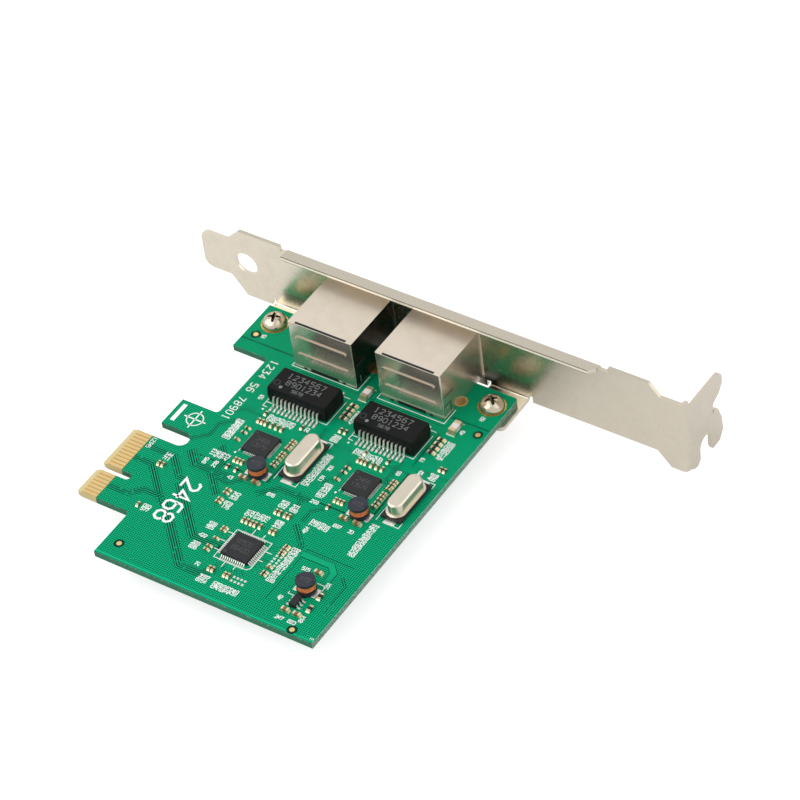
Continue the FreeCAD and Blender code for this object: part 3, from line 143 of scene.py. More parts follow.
class Shader:
    """A principled material with short calls for the textures that drive it."""

    def __init__(self, name, base, roughness, metallic=0.0, coat=0.0, specular=0.5):
        self.material = bpy.data.materials.new(name)
        self.material.use_nodes = True
        self.tree = self.material.node_tree
        self.surface = self.tree.nodes["Principled BSDF"]
        settings = {"Base Color": base, "Roughness": roughness, "Metallic": metallic, "Coat Weight": coat,
                    "Specular IOR Level": specular}
        for socket, setting in settings.items():
            self.surface.inputs[socket].default_value = setting
        self.places = self.node("ShaderNodeTexCoord").outputs["Object"]

    def node(self, kind, **settings):
        made = self.tree.nodes.new(kind)
        for name, setting in settings.items():
            setattr(made, name, setting)
        return made

    def link(self, source, target):
        self.tree.links.new(source, target)

    def feed(self, socket, source):
        """A number goes into the socket itself, an output is linked to it."""
        if isinstance(source, bpy.types.NodeSocket):
            self.link(source, socket)
        else:
            socket.default_value = source

    def stretched(self, x, y, z):
        """Coordinates in millimetres, scaled along each axis."""
        mapping = self.node("ShaderNodeMapping")
        mapping.inputs["Scale"].default_value = (x / MM, y / MM, z / MM)
        self.link(self.places, mapping.inputs["Vector"])
        return mapping.outputs["Vector"]

    def noise(self, per_mm, detail=3.0, stretch=(1, 1, 1)):
        """Noise of so many features per millimetre."""
        texture = self.node("ShaderNodeTexNoise")
        texture.inputs["Scale"].default_value = per_mm
        texture.inputs["Detail"].default_value = detail
        self.link(self.stretched(*stretch), texture.inputs["Vector"])
        return texture.outputs["Fac"]

    def math(self, operation, first, second=0.0, third=0.0):
        made = self.node("ShaderNodeMath", operation=operation)
        for socket, source in zip(made.inputs, (first, second, third)):
            self.feed(socket, source)
        return made.outputs[0]

    def spread(self, source, low, high, new_low=0.0, new_high=1.0):
        """The source between low and high, spread over a new range and held inside it."""
        made = self.node("ShaderNodeMapRange")
        for socket, part in zip(made.inputs, (source, low, high, new_low, new_high)):
            self.feed(socket, part)
        return made.outputs["Result"]

    def near(self, source, middle, reach):
        """1 where the source lies within reach of a middle value, else 0."""
        away = self.math("ABSOLUTE", self.math("SUBTRACT", source, middle))
        return self.math("LESS_THAN", away, reach)

    def blend(self, share, first, second):
        """A colour between two others."""
        made = self.node("ShaderNodeMix", data_type="RGBA")
        self.feed(made.inputs["Factor"], share)
        self.feed(made.inputs[6], first)
        self.feed(made.inputs[7], second)
        return made.outputs[2]

    def paint(self, source):
        self.feed(self.surface.inputs["Base Color"], source)

    def polish(self, source):
        self.feed(self.surface.inputs["Roughness"], source)

    def relief(self, height, depth_mm):
        bump = self.node("ShaderNodeBump")
        bump.inputs["Distance"].default_value = depth_mm * MM
        self.link(height, bump.inputs["Height"])
        self.link(bump.outputs["Normal"], self.surface.inputs["Normal"])

    def split(self, vector):
        made = self.node("ShaderNodeSeparateXYZ")
        self.link(vector, made.inputs[0])
        return made.outputs

    def axes(self):
        """The place's X, Y and Z in millimetres."""
        return self.split(self.stretched(1, 1, 1))

    def facing_up(self):
        """1 where the surface faces up or down, 0 where it stands upright."""
        normal = self.node("ShaderNodeTexCoord").outputs["Normal"]
        return self.math("GREATER_THAN", self.math("ABSOLUTE", self.split(normal)[2]), 0.5)


# Materials

UNEVEN_POLISH = 0.03
MESH_PITCH = 0.49
MESH_STARTS = 0.45
BORDER = 0.38
RIM, RIM_HALF = 0.5, 0.12
TAB_BEVEL = 1.3
TABS_MIDDLE, TABS_HALF = 2.0, 10.4


def solder_mask():
    """Glossy green lacquer over a fine copper mesh, with bare laminate on the edges."""
    look = Shader("solder_mask", MASK_GREEN, 0.35, specular=0.06)
    x, y, z = look.axes()
    from_side = look.math("SUBTRACT", y, BOARD_LOW.y / MM)
    mesh = look.math("GREATER_THAN", from_side, MESH_STARTS)
    for place in (x, y):
        wave = look.math("PINGPONG", place, MESH_PITCH / 2)
        mesh = look.math("MULTIPLY", mesh, look.spread(wave, MESH_PITCH * 0.16, MESH_PITCH * 0.24))
    cloud = look.spread(look.noise(0.12, 2.0), 0.35, 0.65)
    tone = look.blend(mesh, MASK_GREEN, MASK_DEEP)
    tone = look.blend(look.math("MULTIPLY", cloud, 0.10), tone, MASK_LIGHT)
    tone = look.blend(look.math("LESS_THAN", from_side, BORDER), tone, MASK_BORDER)
    tone = look.blend(look.near(from_side, RIM, RIM_HALF), tone, MASK_RIM)
    bare = look.blend(look.math("LESS_THAN", x, TAB_BEVEL), BARE_TAB, BARE_BEVEL)
    near_tab = look.math("MULTIPLY", look.math("LESS_THAN", x, TABS_END),
                         look.near(y, TABS_MIDDLE, TABS_HALF))
    fibres = look.noise(1.2, 4.0, (1, 1, 9))
    edge = look.blend(fibres, LAMINATE_SHADE, LAMINATE)
    frayed = look.math("GREATER_THAN", x, BOARD_HIGH.x / MM - 0.02)
    torn = look.math("MULTIPLY_ADD", frayed, 0.14, look.noise(2.6, 4.0, (1, 1, 2)))
    torn = look.spread(torn, 0.56, 0.66)
    near_top = look.math("MAXIMUM", look.spread(z, 0.1, 0.7), look.math("MULTIPLY", frayed, 0.6))
    edge = look.blend(look.math("MULTIPLY", torn, near_top), edge, TORN_GLASS)
    edge = look.blend(near_tab, edge, BARE_BEVEL)
    tone = look.blend(near_tab, tone, bare)
    look.paint(look.blend(look.facing_up(), edge, tone))
    look.polish(look.spread(look.noise(2.0), 0.3, 0.7, 0.27, 0.38))
    look.relief(look.math("SUBTRACT", look.noise(0.8), look.math("MULTIPLY", mesh, 0.35)), 0.012)
    return look.material


def copper_under_mask():
    """Traces: the same lacquer, lighter where copper lies under it."""
    look = Shader("mask_over_copper", MASK_LIGHT, 0.33, specular=0.08)
    tone = look.spread(look.noise(0.5), 0.3, 0.7, 0.0, 0.5)
    look.paint(look.blend(tone, MASK_LIGHT, MASK_GREEN))
    look.relief(look.noise(1.5), 0.008)
    return look.material


def metal(name, base, roughness, grain, stretch=(1, 1, 1), depth=0.004, level=0.0, metallic=1.0,
          finish=None):
    """Plated or rolled metal with fine grain, uneven polish and slight staining.

    Level faces below the shields' tops may be duller, darkened with painted shade, and a finish may paint
    over the tone.
    """
    look = Shader(name, base, roughness, metallic=metallic)
    fine = look.noise(grain, 4.0, stretch)
    cloud = look.noise(0.35, 3.0)
    tone = look.blend(look.spread(cloud, 0.42, 0.72), base, dimmed(base, 0.94))
    if level:
        # Painted shade on upward faces below the shields' tops.
        below = look.math("LESS_THAN", look.axes()[2], LEDGES_UNDER)
        ledge_shade = look.math("MULTIPLY", look.facing_up(), below)
        tone = look.blend(ledge_shade, tone, dimmed(base, 0.55))
    if finish:
        tone = finish(look, tone, base)
    look.paint(tone)
    mixed = look.math("MULTIPLY_ADD", fine, 0.6, look.math("MULTIPLY", cloud, 0.4))
    polish = look.spread(mixed, 0.3, 0.7, roughness - UNEVEN_POLISH, roughness + UNEVEN_POLISH)
    if level:
        polish = look.math("MULTIPLY_ADD", look.facing_up(), level, polish)
    look.polish(polish)
    look.relief(fine, depth)
    return look.material


def bracket_finish(look, tone, base):
    """Painted shade that darkens the bracket towards +X and on the lip's top, the lip's sheared edge painted
    bright as a highlight between two dark lines of burr and painted shade, and painted shade beside the
    jacks.
    """
    x, y, z = look.axes()
    painted_shade = dimmed(base, 0.76)
    # Painted shade: the bracket grows darker from x 10 to 90 mm.
    tone = look.blend(look.spread(x, 10.0, 90.0, 0.0, 0.55), tone, painted_shade)
    low = look.spread(z, 0.6, 4.2, 1.0, 0.0)
    for corner in SHADED_CORNERS:
        away = look.math("ABSOLUTE", look.math("SUBTRACT", x, corner))
        shaded = look.math("MULTIPLY", look.spread(away, 1.2, 4.4, 1.0, 0.0), low)
        shaded = look.math("MULTIPLY", shaded, look.near(y, INNER_FACE, 0.1))
        tone = look.blend(shaded, tone, CORNER_SHADE)
    # Painted shade on the lip's upward faces.
    on_lip = look.math("MULTIPLY", look.facing_up(), look.math("GREATER_THAN", z, LIP_TOP - 0.4))
    tone = look.blend(on_lip, tone, painted_shade)
    # Painted highlight: the lip's sheared edge is painted near white and made mostly not metallic.
    middle = LIP_TOP - 0.43
    rim = look.math("MULTIPLY", look.math("LESS_THAN", y, LIP_EDGE + 0.12), look.near(z, middle, 0.5))
    tone = look.blend(rim, tone, SHEARED_EDGE_HIGHLIGHT)
    # Dark lines of burr and painted shade along the edge's two rims.
    clean = look.near(z, middle, 0.31)
    tone = look.blend(look.math("MULTIPLY", rim, look.math("SUBTRACT", 1.0, clean)), tone, BURR_SHADE)
    look.link(look.math("MULTIPLY_ADD", rim, -0.85, 1.0), look.surface.inputs["Metallic"])
    return tone


def shield_finish(look, tone, base):
    """Deep shade on the wall that faces the other shield."""
    return look.blend(look.near(look.axes()[0], SHADED_WALL, 0.06), tone, dimmed(base, 0.06))


def moulding(name, base, grain=14.0, roughness=0.5, depth=0.012, specular=0.25):
    """Moulded compound or plastic with a fine sparkling grain."""
    look = Shader(name, base, roughness, specular=specular)
    fine = look.noise(grain, 3.0)
    cloud = look.noise(0.5, 3.0)
    lighter = tuple(min(1.0, part * 1.7 + 0.008) for part in base[:3]) + (1.0,)
    share = look.math("MULTIPLY", cloud, 0.3)
    share = look.math("MULTIPLY_ADD", look.spread(fine, 0.45, 0.75), 0.5, share)
    look.paint(look.blend(share, base, lighter))
    look.polish(look.spread(cloud, 0.35, 0.65, roughness - 0.08, roughness + 0.1))
    look.relief(fine, depth)
    return look.material


def printed(name, base):
    """Screen-printed ink with slightly uneven cover."""
    look = Shader(name, base, 0.55)
    look.paint(look.blend(look.spread(look.noise(6.0), 0.5, 0.75), base, dimmed(base, 0.8)))
    look.relief(look.noise(18.0), 0.004)
    return look.material


def clear_plastic():
    look = Shader("clear_plastic", colour(225, 230, 226), 0.22)
    look.surface.inputs["Transmission Weight"].default_value = 0.6
    look.relief(look.noise(2.0), 0.01)
    return look.material


def enamelled_wire():
    look = Shader("enamelled_wire", COPPER, 0.25, metallic=0.6, coat=0.3)
    look.paint(look.blend(look.noise(1.5), COPPER, COPPER_SHADE))
    look.relief(look.noise(5.0), 0.01)
    return look.material


MATERIALS = {
    "mask": solder_mask(),
    "trace": copper_under_mask(),
    "gold": metal("gold_plate", GOLD, 0.30, 6.0, (1, 8, 1)),
    "nickel": metal("bracket_nickel", BRACKET_NICKEL, 0.27, 5.0, (1, 3, 3), depth=0.002,
                    finish=bracket_finish),
    "shield": metal("shield_tin", SHIELD_TIN, 0.22, 5.0, (1, 1, 3), depth=0.001, level=0.25, metallic=0.85,
                    finish=shield_finish),
    "can": metal("can_metal", NICKEL, 0.3, 8.0, depth=0.003),
    "solder": metal("solder", SOLDER, 0.28, 4.0, depth=0.01, metallic=0.7),
    "screw": metal("screw_steel", colour(196, 186, 166), 0.2, 6.0, depth=0.004),
    "compound": moulding("mould_compound", COMPOUND),
    "black": moulding("black_plastic", colour(30, 30, 31), roughness=0.42),
    "ferrite": moulding("ferrite", FERRITE, 8.0, 0.45, 0.02),
    "ring_gold": metal("ring_gold", colour(214, 172, 98), 0.3, 6.0),
    "chip_tin": metal("chip_tin", CHIP_TIN, 0.35, 4.0, depth=0.01, metallic=0.8),
    "bronze": metal("flux_stained_gold", BRONZE, 0.4, 3.0, depth=0.02),
    # Darker steel in the screws' cross recesses is painted shade.
    "recess": metal("recess_painted_shade", colour(96, 88, 74), 0.35, 6.0, depth=0.01),
    "potting": moulding("potting_compound", POTTING, roughness=0.46, specular=0.12),
    "ceramic": moulding("capacitor_ceramic", colour(112, 92, 64), 6.0, 0.4, 0.008),
    "resistor": moulding("resistor_glaze", colour(34, 34, 36), 6.0, 0.35, 0.006),
    "surge": moulding("surge_ceramic", colour(226, 208, 200), 6.0, 0.4, 0.008),
    "ink": printed("white_ink", INK),
    "marking": printed("grey_marking", MARKING),
    "faint": printed("faint_marking", colour(70, 70, 72)),
    "gap": moulding("mask_over_laminate", MASK_SHADE, 4.0, 0.3, 0.004, specular=0.06),
    "tab_gap": moulding("tab_laminate", colour(168, 128, 66), 4.0, 0.5, 0.004),
    "clear": clear_plastic(),
    "wire": enamelled_wire(),
}


def added(name, data):
    """A new object in the scene."""
    thing = bpy.data.objects.new(name, data)
    bpy.context.scene.collection.objects.link(thing)
    return thing


def smoothing_group():
    """Smooth shading across edges that turn less than 28 degrees."""
    group = bpy.data.node_groups.new("smooth_curves", "GeometryNodeTree")
    for way in ("INPUT", "OUTPUT"):
        group.interface.new_socket("Geometry", in_out=way, socket_type="NodeSocketGeometry")
    start = group.nodes.new("NodeGroupInput")
    end = group.nodes.new("NodeGroupOutput")
    angle = group.nodes.new("GeometryNodeInputMeshEdgeAngle")
    sharp = group.nodes.new("FunctionNodeCompare")
    sharp.operation = "GREATER_THAN"
    sharp.inputs[1].default_value = math.radians(28)
    faces = group.nodes.new("GeometryNodeSetShadeSmooth")
    edges = group.nodes.new("GeometryNodeSetShadeSmooth")
    edges.domain = "EDGE"
    edges.inputs["Shade Smooth"].default_value = False
    group.links.new(start.outputs[0], faces.inputs["Geometry"])
    group.links.new(faces.outputs["Geometry"], edges.inputs["Geometry"])
    group.links.new(angle.outputs["Unsigned Angle"], sharp.inputs[0])
    group.links.new(sharp.outputs["Result"], edges.inputs["Selection"])
    group.links.new(edges.outputs["Geometry"], end.inputs[0])
    return group


SMOOTHING = smoothing_group()


def weld(thing):
    thing.modifiers.new("weld", "WELD").merge_threshold = 0.0005 * MM


def smooth(thing):
    """Smooth curves, with the large flats kept flat."""
    thing.modifiers.new("smooth", "NODES").node_group = SMOOTHING
    weights = thing.modifiers.new("weights", "WEIGHTED_NORMAL")
    weights.keep_sharp = True
    weights.weight = 90


def dress(name, look, soften):
    """Gives a CAD node its material, smooth curves and, where asked, broken edges of that width."""
    node = nodes[name]
    node.data.materials.clear()
    node.data.materials.append(MATERIALS[look])
    weld(node)
    if soften:
        bevel = node.modifiers.new("soften", "BEVEL")
        bevel.width = soften * MM
        bevel.segments = 2
        bevel.limit_method = "ANGLE"
        bevel.angle_limit = math.radians(35)
    smooth(node)


NODE_LOOKS = {
    "circuit_board": ("mask", 0.0), "edge_contacts": ("gold", 0.0), "plated_rings": ("ring_gold", 0.0),
    "bracket": ("nickel", 0.09), "bracket_screws": ("screw", 0.0),
    "switch_chip": ("compound", 0.06), "switch_leads": ("solder", 0.0),
    "regulator": ("compound", 0.05), "regulator_leads": ("solder", 0.0),
    "capacitor_bodies": ("ceramic", 0.0), "capacitor_ends": ("chip_tin", 0.04),
    "resistor_bodies": ("resistor", 0.0), "resistor_ends": ("chip_tin", 0.04),
    "surge_capacitor_bodies": ("surge", 0.0), "surge_capacitor_ends": ("chip_tin", 0.06),
}
for port in (1, 2):
    NODE_LOOKS.update({
        f"jack_{port}_shell": ("shield", 0.06), f"jack_{port}_housing": ("black", 0.0),
        f"jack_{port}_contacts": ("gold", 0.0), f"jack_{port}_lights": ("clear", 0.1),
        f"transformer_{port}_body": ("potting", 0.12), f"transformer_{port}_leads": ("solder", 0.0),
        f"controller_{port}": ("compound", 0.06), f"crystal_{port}_can": ("can", 0.14),
        f"crystal_{port}_base": ("black", 0.08), f"crystal_{port}_terminals": ("solder", 0.0),
    })
for number in (1, 2, 3):
    NODE_LOOKS.update({
        f"inductor_{number}_core": ("ferrite", 0.0), f"inductor_{number}_coil": ("wire", 0.0),
        f"inductor_{number}_terminals": ("solder", 0.0),
    })
for name, (look, soften) in NODE_LOOKS.items():
    dress(name, look, soften)


# Pieces built here: small faces of one material gathered into one mesh

def circle(x, y, radius, sides):
    """Places of a regular polygon's corners."""
    turns = [2 * math.pi * number / sides for number in range(sides)]
    return [(x + radius * math.cos(turn), y + radius * math.sin(turn)) for turn in turns]


class Pile:
    """Faces of one material, with places in millimetres."""

    def __init__(self):
        self.points = []
        self.faces = []

    def add(self, points, faces):
        start = len(self.points)
        self.points += [Vector(point) for point in points]
        self.faces += [tuple(start + index for index in face) for face in faces]

    def slab(self, outline, low, high):
        """A flat plate over an outline, open underneath where it lies on something."""
        count = len(outline)
        points = [(x, y, low) for x, y in outline] + [(x, y, high) for x, y in outline]
        sides = [(number, (number + 1) % count, count + (number + 1) % count, count + number)
                 for number in range(count)]
        top = tuple(range(count, 2 * count))
        if high < low:
            top = top[::-1]
            sides = [side[::-1] for side in sides]
        self.add(points, [top] + sides)

    def patch(self, x0, x1, y0, y1, low, high):
        self.slab([(x0, y0), (x1, y0), (x1, y1), (x0, y1)], low, high)

    def box(self, x0, x1, y0, y1, z0, z1):
        self.patch(x0, x1, y0, y1, z0, z1)
        self.add([(x0, y0, z0), (x0, y1, z0), (x1, y1, z0), (x1, y0, z0)], [(0, 1, 2, 3)])

    def disc(self, x, y, diameter, low, high, sides=16):
        self.slab(circle(x, y, diameter / 2, sides), low, high)

    def ring(self, x, y, outer, inner, low, high, sides):
        self.lathe(x, y, [(outer / 2, low), (outer / 2, high), (inner / 2, high), (inner / 2, low)], sides)

    def strip(self, path, width, low, high):
        """A flat strip of even width along a path."""
        left = shifted(path, width / 2)
        right = shifted(path, -width / 2)
        for number in range(len(path) - 1):
            outline = [right[number], right[number + 1], left[number + 1], left[number]]
            self.slab(outline, low, high)

    def lathe(self, x, y, profile, sides):
        """A turned shape round an upright axis: the profile is radius and height from the axis out."""
        loops = [(circle(x, y, radius, sides), z) for radius, z in profile]
        points = [(*loop[number], z) for number in range(sides) for loop, z in loops]
        faces = []
        count = len(profile)
        for number in range(sides):
            here, there = count * number, count * ((number + 1) % sides)
            for level in range(count - 1):
                faces.append((here + level, there + level, there + level + 1, here + level + 1))
        self.add(points, faces)

    def piece(self, name, look, curved=False):
        """The gathered faces as one piece that rides on the card."""
        mesh = bpy.data.meshes.new(name)
        mesh.from_pydata([point * MM for point in self.points], [], self.faces)
        mesh.materials.append(MATERIALS[look])
        thing = added(name, mesh)
        if curved:
            weld(thing)
            smooth(thing)
        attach(thing, "root")
        return thing


def shifted(path, offset):
    """A path moved sideways, with its corners mitred."""
    moved = []
    for number, (x, y) in enumerate(path):
        before = path[max(number - 1, 0)]
        after = path[min(number + 1, len(path) - 1)]
        into = Vector((x - before[0], y - before[1]))
        out = Vector((after[0] - x, after[1] - y))
        into = into.normalized() if into.length > 0 else out.normalized()
        out = out.normalized() if out.length > 0 else into
        across = Vector((-into.y - out.y, into.x + out.x)).normalized()
        reach = offset / max(across.dot(Vector((-into.y, into.x))), 0.4)
        moved.append((x + across.x * reach, y + across.y * reach))
    return moved


def islands(name):
    """Low and high corners, in millimetres, of each separate solid of a CAD node."""
    mesh = nodes[name].data
    place = nodes[name].matrix_world
    keys, owner = {}, {}

    def find(item):
        while owner[item] != item:
            owner[item] = owner[owner[item]]
            item = owner[item]
        return item

    labels = []
    for vertex in mesh.vertices:
        point = (place @ vertex.co) / MM
        key = tuple(round(part, 3) for part in point)
        keys.setdefault(key, point)
        owner.setdefault(key, key)
        labels.append(key)
    for polygon in mesh.polygons:
        first = labels[polygon.vertices[0]]
        for index in polygon.vertices[1:]:
            owner[find(labels[index])] = find(first)
    groups = {}
    for key, point in keys.items():
        groups.setdefault(find(key), []).append(point)
    boxes = [[Vector([pick(point[axis] for point in points) for axis in range(3)]) for pick in (min, max)]
             for points in groups.values()]
    return sorted(boxes, key=lambda pair: tuple(round(part, 2) for part in pair[0]))


INK_THICK = 0.025
COPPER_THICK = 0.015
INK_HIGH = TOP + INK_THICK
COPPER_HIGH = TOP + COPPER_THICK

# Plain digits as pen strokes on a grid of 4 by 6
STROKES = {
    "0": [[(1, 0), (3, 0), (4, 1), (4, 5), (3, 6), (1, 6), (0, 5), (0, 1), (1, 0)]],
    "1": [[(1, 5), (2, 6), (2, 0)], [(1, 0), (3, 0)]],
    "2": [[(0, 5), (1, 6), (3, 6), (4, 5), (4, 4), (0, 0), (4, 0)]],
    "3": [[(0, 6), (4, 6), (2, 3.5), (3, 3.5), (4, 2.5), (4, 1), (3, 0), (0, 0)]],
    "4": [[(3, 0), (3, 6), (0, 2), (4, 2)]],
    "5": [[(4, 6), (0, 6), (0, 3.5), (3, 3.5), (4, 2.5), (4, 1), (3, 0), (0, 0)]],
    "6": [[(4, 6), (1, 6), (0, 5), (0, 1), (1, 0), (3, 0), (4, 1), (4, 2.5), (3, 3.5), (0, 3.5)]],
    "7": [[(0, 6), (4, 6), (1.5, 0)]],
    "8": [[(1, 3.2), (0, 4.2), (0, 5), (1, 6), (3, 6), (4, 5), (4, 4.2), (3, 3.2), (1, 3.2), (0, 2.2),
           (0, 1), (1, 0), (3, 0), (4, 1), (4, 2.2), (3, 3.2)]],
    "9": [[(1, 0), (3, 0), (4, 1), (4, 5), (3, 6), (1, 6), (0, 5), (0, 3.8), (1, 2.8), (4, 2.8)]],
    " ": [],
}


DIGIT_WIDTH = 0.62
DIGIT_STEP = 0.82


def write(pile, text, x, y, height, pen, level=TOP, thick=INK_THICK, turn=0, narrow=DIGIT_WIDTH, spacing=0.9):
    """Digits whose lower left corner stands at a place."""
    unit = height / 6
    across = Vector((math.cos(math.radians(turn)), math.sin(math.radians(turn))))
    up = Vector((-across.y, across.x))
    for number, digit in enumerate(text):
        start = number * height * spacing * DIGIT_STEP
        for stroke in STROKES[digit]:
            path = []
            for right, rise in stroke:
                point = across * (start + right * unit * narrow / DIGIT_WIDTH) + up * (rise * unit)
                path.append((x + point.x, y + point.y))
            pile.strip(path, height * pen, level, level + thick)


ink = Pile()
traces = Pile()
shade = Pile()
solder = Pile()
ends = Pile()
gold = Pile()

# Silkscreen: reference numbers beside the parts, as blocks of x from, x to, y from, y to
LABELS = [
    (30, 32.2, -4.4, -2.3), (30, 32, -7, -5.9), (30, 32.2, -10.6, -8.3), (34.1, 35, -14, -12.6),
    (36.6, 39.1, -17.5, -15.2), (40.4, 46.6, -17.6, -15.3), (49.3, 51.5, -10.9, -0.5), (54, 55.9, -5, -3.9),
    (54.2, 55.1, -13.9, -12.5), (61, 61.9, -7.2, -5.3), (61.3, 62.5, -17, -15.1), (56.6, 58.6, -18.3, -17.3),
    (59.5, 61.5, -18.2, -17.2), (18.5, 23.2, 13.1, 15.2), (18.5, 19.6, 10.4, 12.5), (20.9, 22, 10.4, 12.4),
    (10.4, 12.5, 7.5, 9.7), (15, 17, -6.6, -4.6), (25.8, 27.4, 9.2, 10.2), (35.9, 38.1, 8.9, 10),
    (29.5, 31.6, 4.6, 6.9), (29.5, 31.6, 1.7, 3.9), (35, 40.6, 2.2, 4.4), (42, 44.4, 2.2, 4.3),
    (39.9, 42, 7.3, 9.5), (42.5, 44.5, 7.3, 9.5), (40.4, 42.4, 14.8, 24.7), (43, 44, 20.5, 22.5),
    (43, 44, 17.2, 19.4), (45, 47.2, 13.3, 17.7), (45, 47.1, 11.4, 12.5), (48.3, 53, 5.9, 8.2),
    (48.3, 49.3, 3.6, 5.7), (53, 55.2, 7.8, 8.9), (56.6, 58.1, 7.8, 8.9), (59.8, 61.9, 2.6, 12.4),
    (18, 20, 18.5, 24.7), (23.4, 30, 27, 29), (38.7, 40.8, 28, 30.2), (45, 52, 27, 29),
    (32.4, 33.5, 27.8, 29.2), (18.3, 19.3, 31.5, 33.2), (56.3, 57.4, 26.1, 27.6), (58.6, 59.5, 31.5, 33.2),
    (60.3, 61.4, 28.3, 29.8), (62.8, 65, 28, 30.1), (39.3, 40.3, 34, 39), (61, 63.2, 33.7, 39.3),
    (61.6, 62.7, 42, 43.5), (63.3, 64.2, 47.4, 48.8), (8.2, 9.3, 47, 48.7), (38.9, 40, 46.2, 47.7),
]
counter = 0
DIGIT_HEIGHT = 0.82
for x0, x1, y0, y1 in LABELS:
    wide, tall = x1 - x0, y1 - y0
    turned = (wide > 1.3 * tall or wide < 1.3) and tall > 1.3
    across, along = (wide, tall) if turned else (tall, wide)
    lines = max(1, round(across / 1.12))
    digits = max(1, round(along / 0.7))
    for line in range(lines):
        counter += 7
        number = str(1234567890123 + 7919 * counter)[-digits:]
        middle = (line + 0.5) * (across / lines)
        if turned:
            write(ink, number, x0 + middle + DIGIT_HEIGHT / 2, y0 + 0.08, DIGIT_HEIGHT, 0.21, turn=90)
        else:
            write(ink, number, x0 + 0.08, y0 + middle - DIGIT_HEIGHT / 2, DIGIT_HEIGHT, 0.21)

# Large print
write(ink, "1234 56 78901", 14.6, 42.5, 1.65, 0.12, turn=-90, narrow=0.54, spacing=1.12)
write(ink, "24", 18.6, 5.2, 4, 0.14, turn=-90, narrow=0.54, spacing=0.98)
write(ink, "68", 18.6, -1.4, 4, 0.14, turn=-90, narrow=0.54, spacing=0.98)
write(ink, "12345", 5.5, 12, 0.9, 0.14, turn=-90)
ink.patch(5.3, 6.3, 17.8, 23, TOP, INK_HIGH)
x, y = TARGET_PLACE
ink.ring(x, y, 3.9, 3.4, TOP, INK_HIGH, 32)
for right, ahead in ((2.7, 0), (0, 2.7)):
    ink.strip([(x - right, y - ahead), (x + right, y + ahead)], 0.3, TOP, INK_HIGH)
for number in range(3):
    ink.patch(66.1 + 0.35 * number, 66.25 + 0.35 * number, -19.7, -19.3, TOP, INK_HIGH)

# Outlines
LINE = 0.16
OUTLINES = [
    [(19.2, 45.6), (19.2, 43.2), (35.9, 43.2), (35.9, 47.8)],
    [(40.75, 45.6), (40.75, 43.2), (57.4, 43.2), (57.4, 47.8)],
    [(35.75, 39.1), (35.75, 31.6), (20.5, 31.6)], [(57.3, 39.1), (57.3, 31.6), (42.1, 31.6)],
    [(20.5, 33), (20.5, 30.3), (21.6, 30.3)], [(42.1, 33), (42.1, 30.3), (43.2, 30.3)],
    [(20.5, 39.3), (20.5, 40.3), (35.9, 40.3)], [(42.1, 39.3), (42.1, 40.3), (57.4, 40.3)],
    [(36.3, -1.85), (44.9, -1.85), (44.9, -9.6), (44.3, -10.3), (36.3, -10.3), (36.3, -1.85)],
    [(37.5, 40.9), (37.5, 44.9), (39.5, 44.9)], [(39.5, 40.9), (37.5, 40.9)],
    [(59.4, 40.9), (59.4, 44.9), (61.4, 44.9)], [(61.4, 40.9), (59.4, 40.9)],
    [(23.6, 16.8), (23.6, 17.6)], [(23.6, 23.6), (24.6, 23.6)], [(48.7, 16.8), (48.7, 17.6)],
    [(48.7, 23.6), (49.7, 23.6)], [(59.1, -6.6), (61.2, -6.6), (61.2, -8)],
    [(55.4, -10.9), (55.4, -11.5), (57, -11.5)],
]
CRYSTAL_CORNERS = [
    [(34.7, 13.6), (34.7, 27.5), (36.3, 27.5)], [(39.0, 13.6), (40.1, 13.6), (40.1, 15.2)],
    [(40.1, 26), (40.1, 27.5), (39, 27.5)],
]
for aside in (0, 25.2):
    OUTLINES += [[(x + aside, y) for x, y in path] for path in CRYSTAL_CORNERS]
TICKS = [
    (39.8, 39.8, -1.6, -0.2), (42.4, 42.4, -1.6, -0.5), (39.3, 39.3, -11.9, -10.4),
    (41.9, 41.9, -11.5, -10.4), (35, 36.2, -3.2, -3.2), (34.7, 36, -5.7, -5.7), (35, 36.2, -8.3, -8.3),
    (45, 46.5, -4.3, -4.3), (45, 46, -6.9, -6.9),
]
for path in OUTLINES + [[(x0, y0), (x1, y1)] for x0, x1, y0, y1 in TICKS]:
    ink.strip(path, LINE, TOP, INK_HIGH)
for x, y in ((21.1, 29.4), (42.7, 29.4), (23.2, 16.2), (48.3, 16.2)):
    ink.disc(x, y, 0.5, TOP, INK_HIGH, 12)

# Bare pads of parts that aren't fitted
for x in (43.3, 44.2, 45.1, 46.0):
    for y in (-13.0, -14.1):
        solder.patch(x - 0.25, x + 0.25, y - 0.27, y + 0.27, TOP, TOP + 0.04)
for y in (-4.2, -5.05, -5.9, -6.75):
    for x in (47.65, 48.75):
        solder.patch(x - 0.27, x + 0.27, y - 0.25, y + 0.25, TOP, TOP + 0.04)

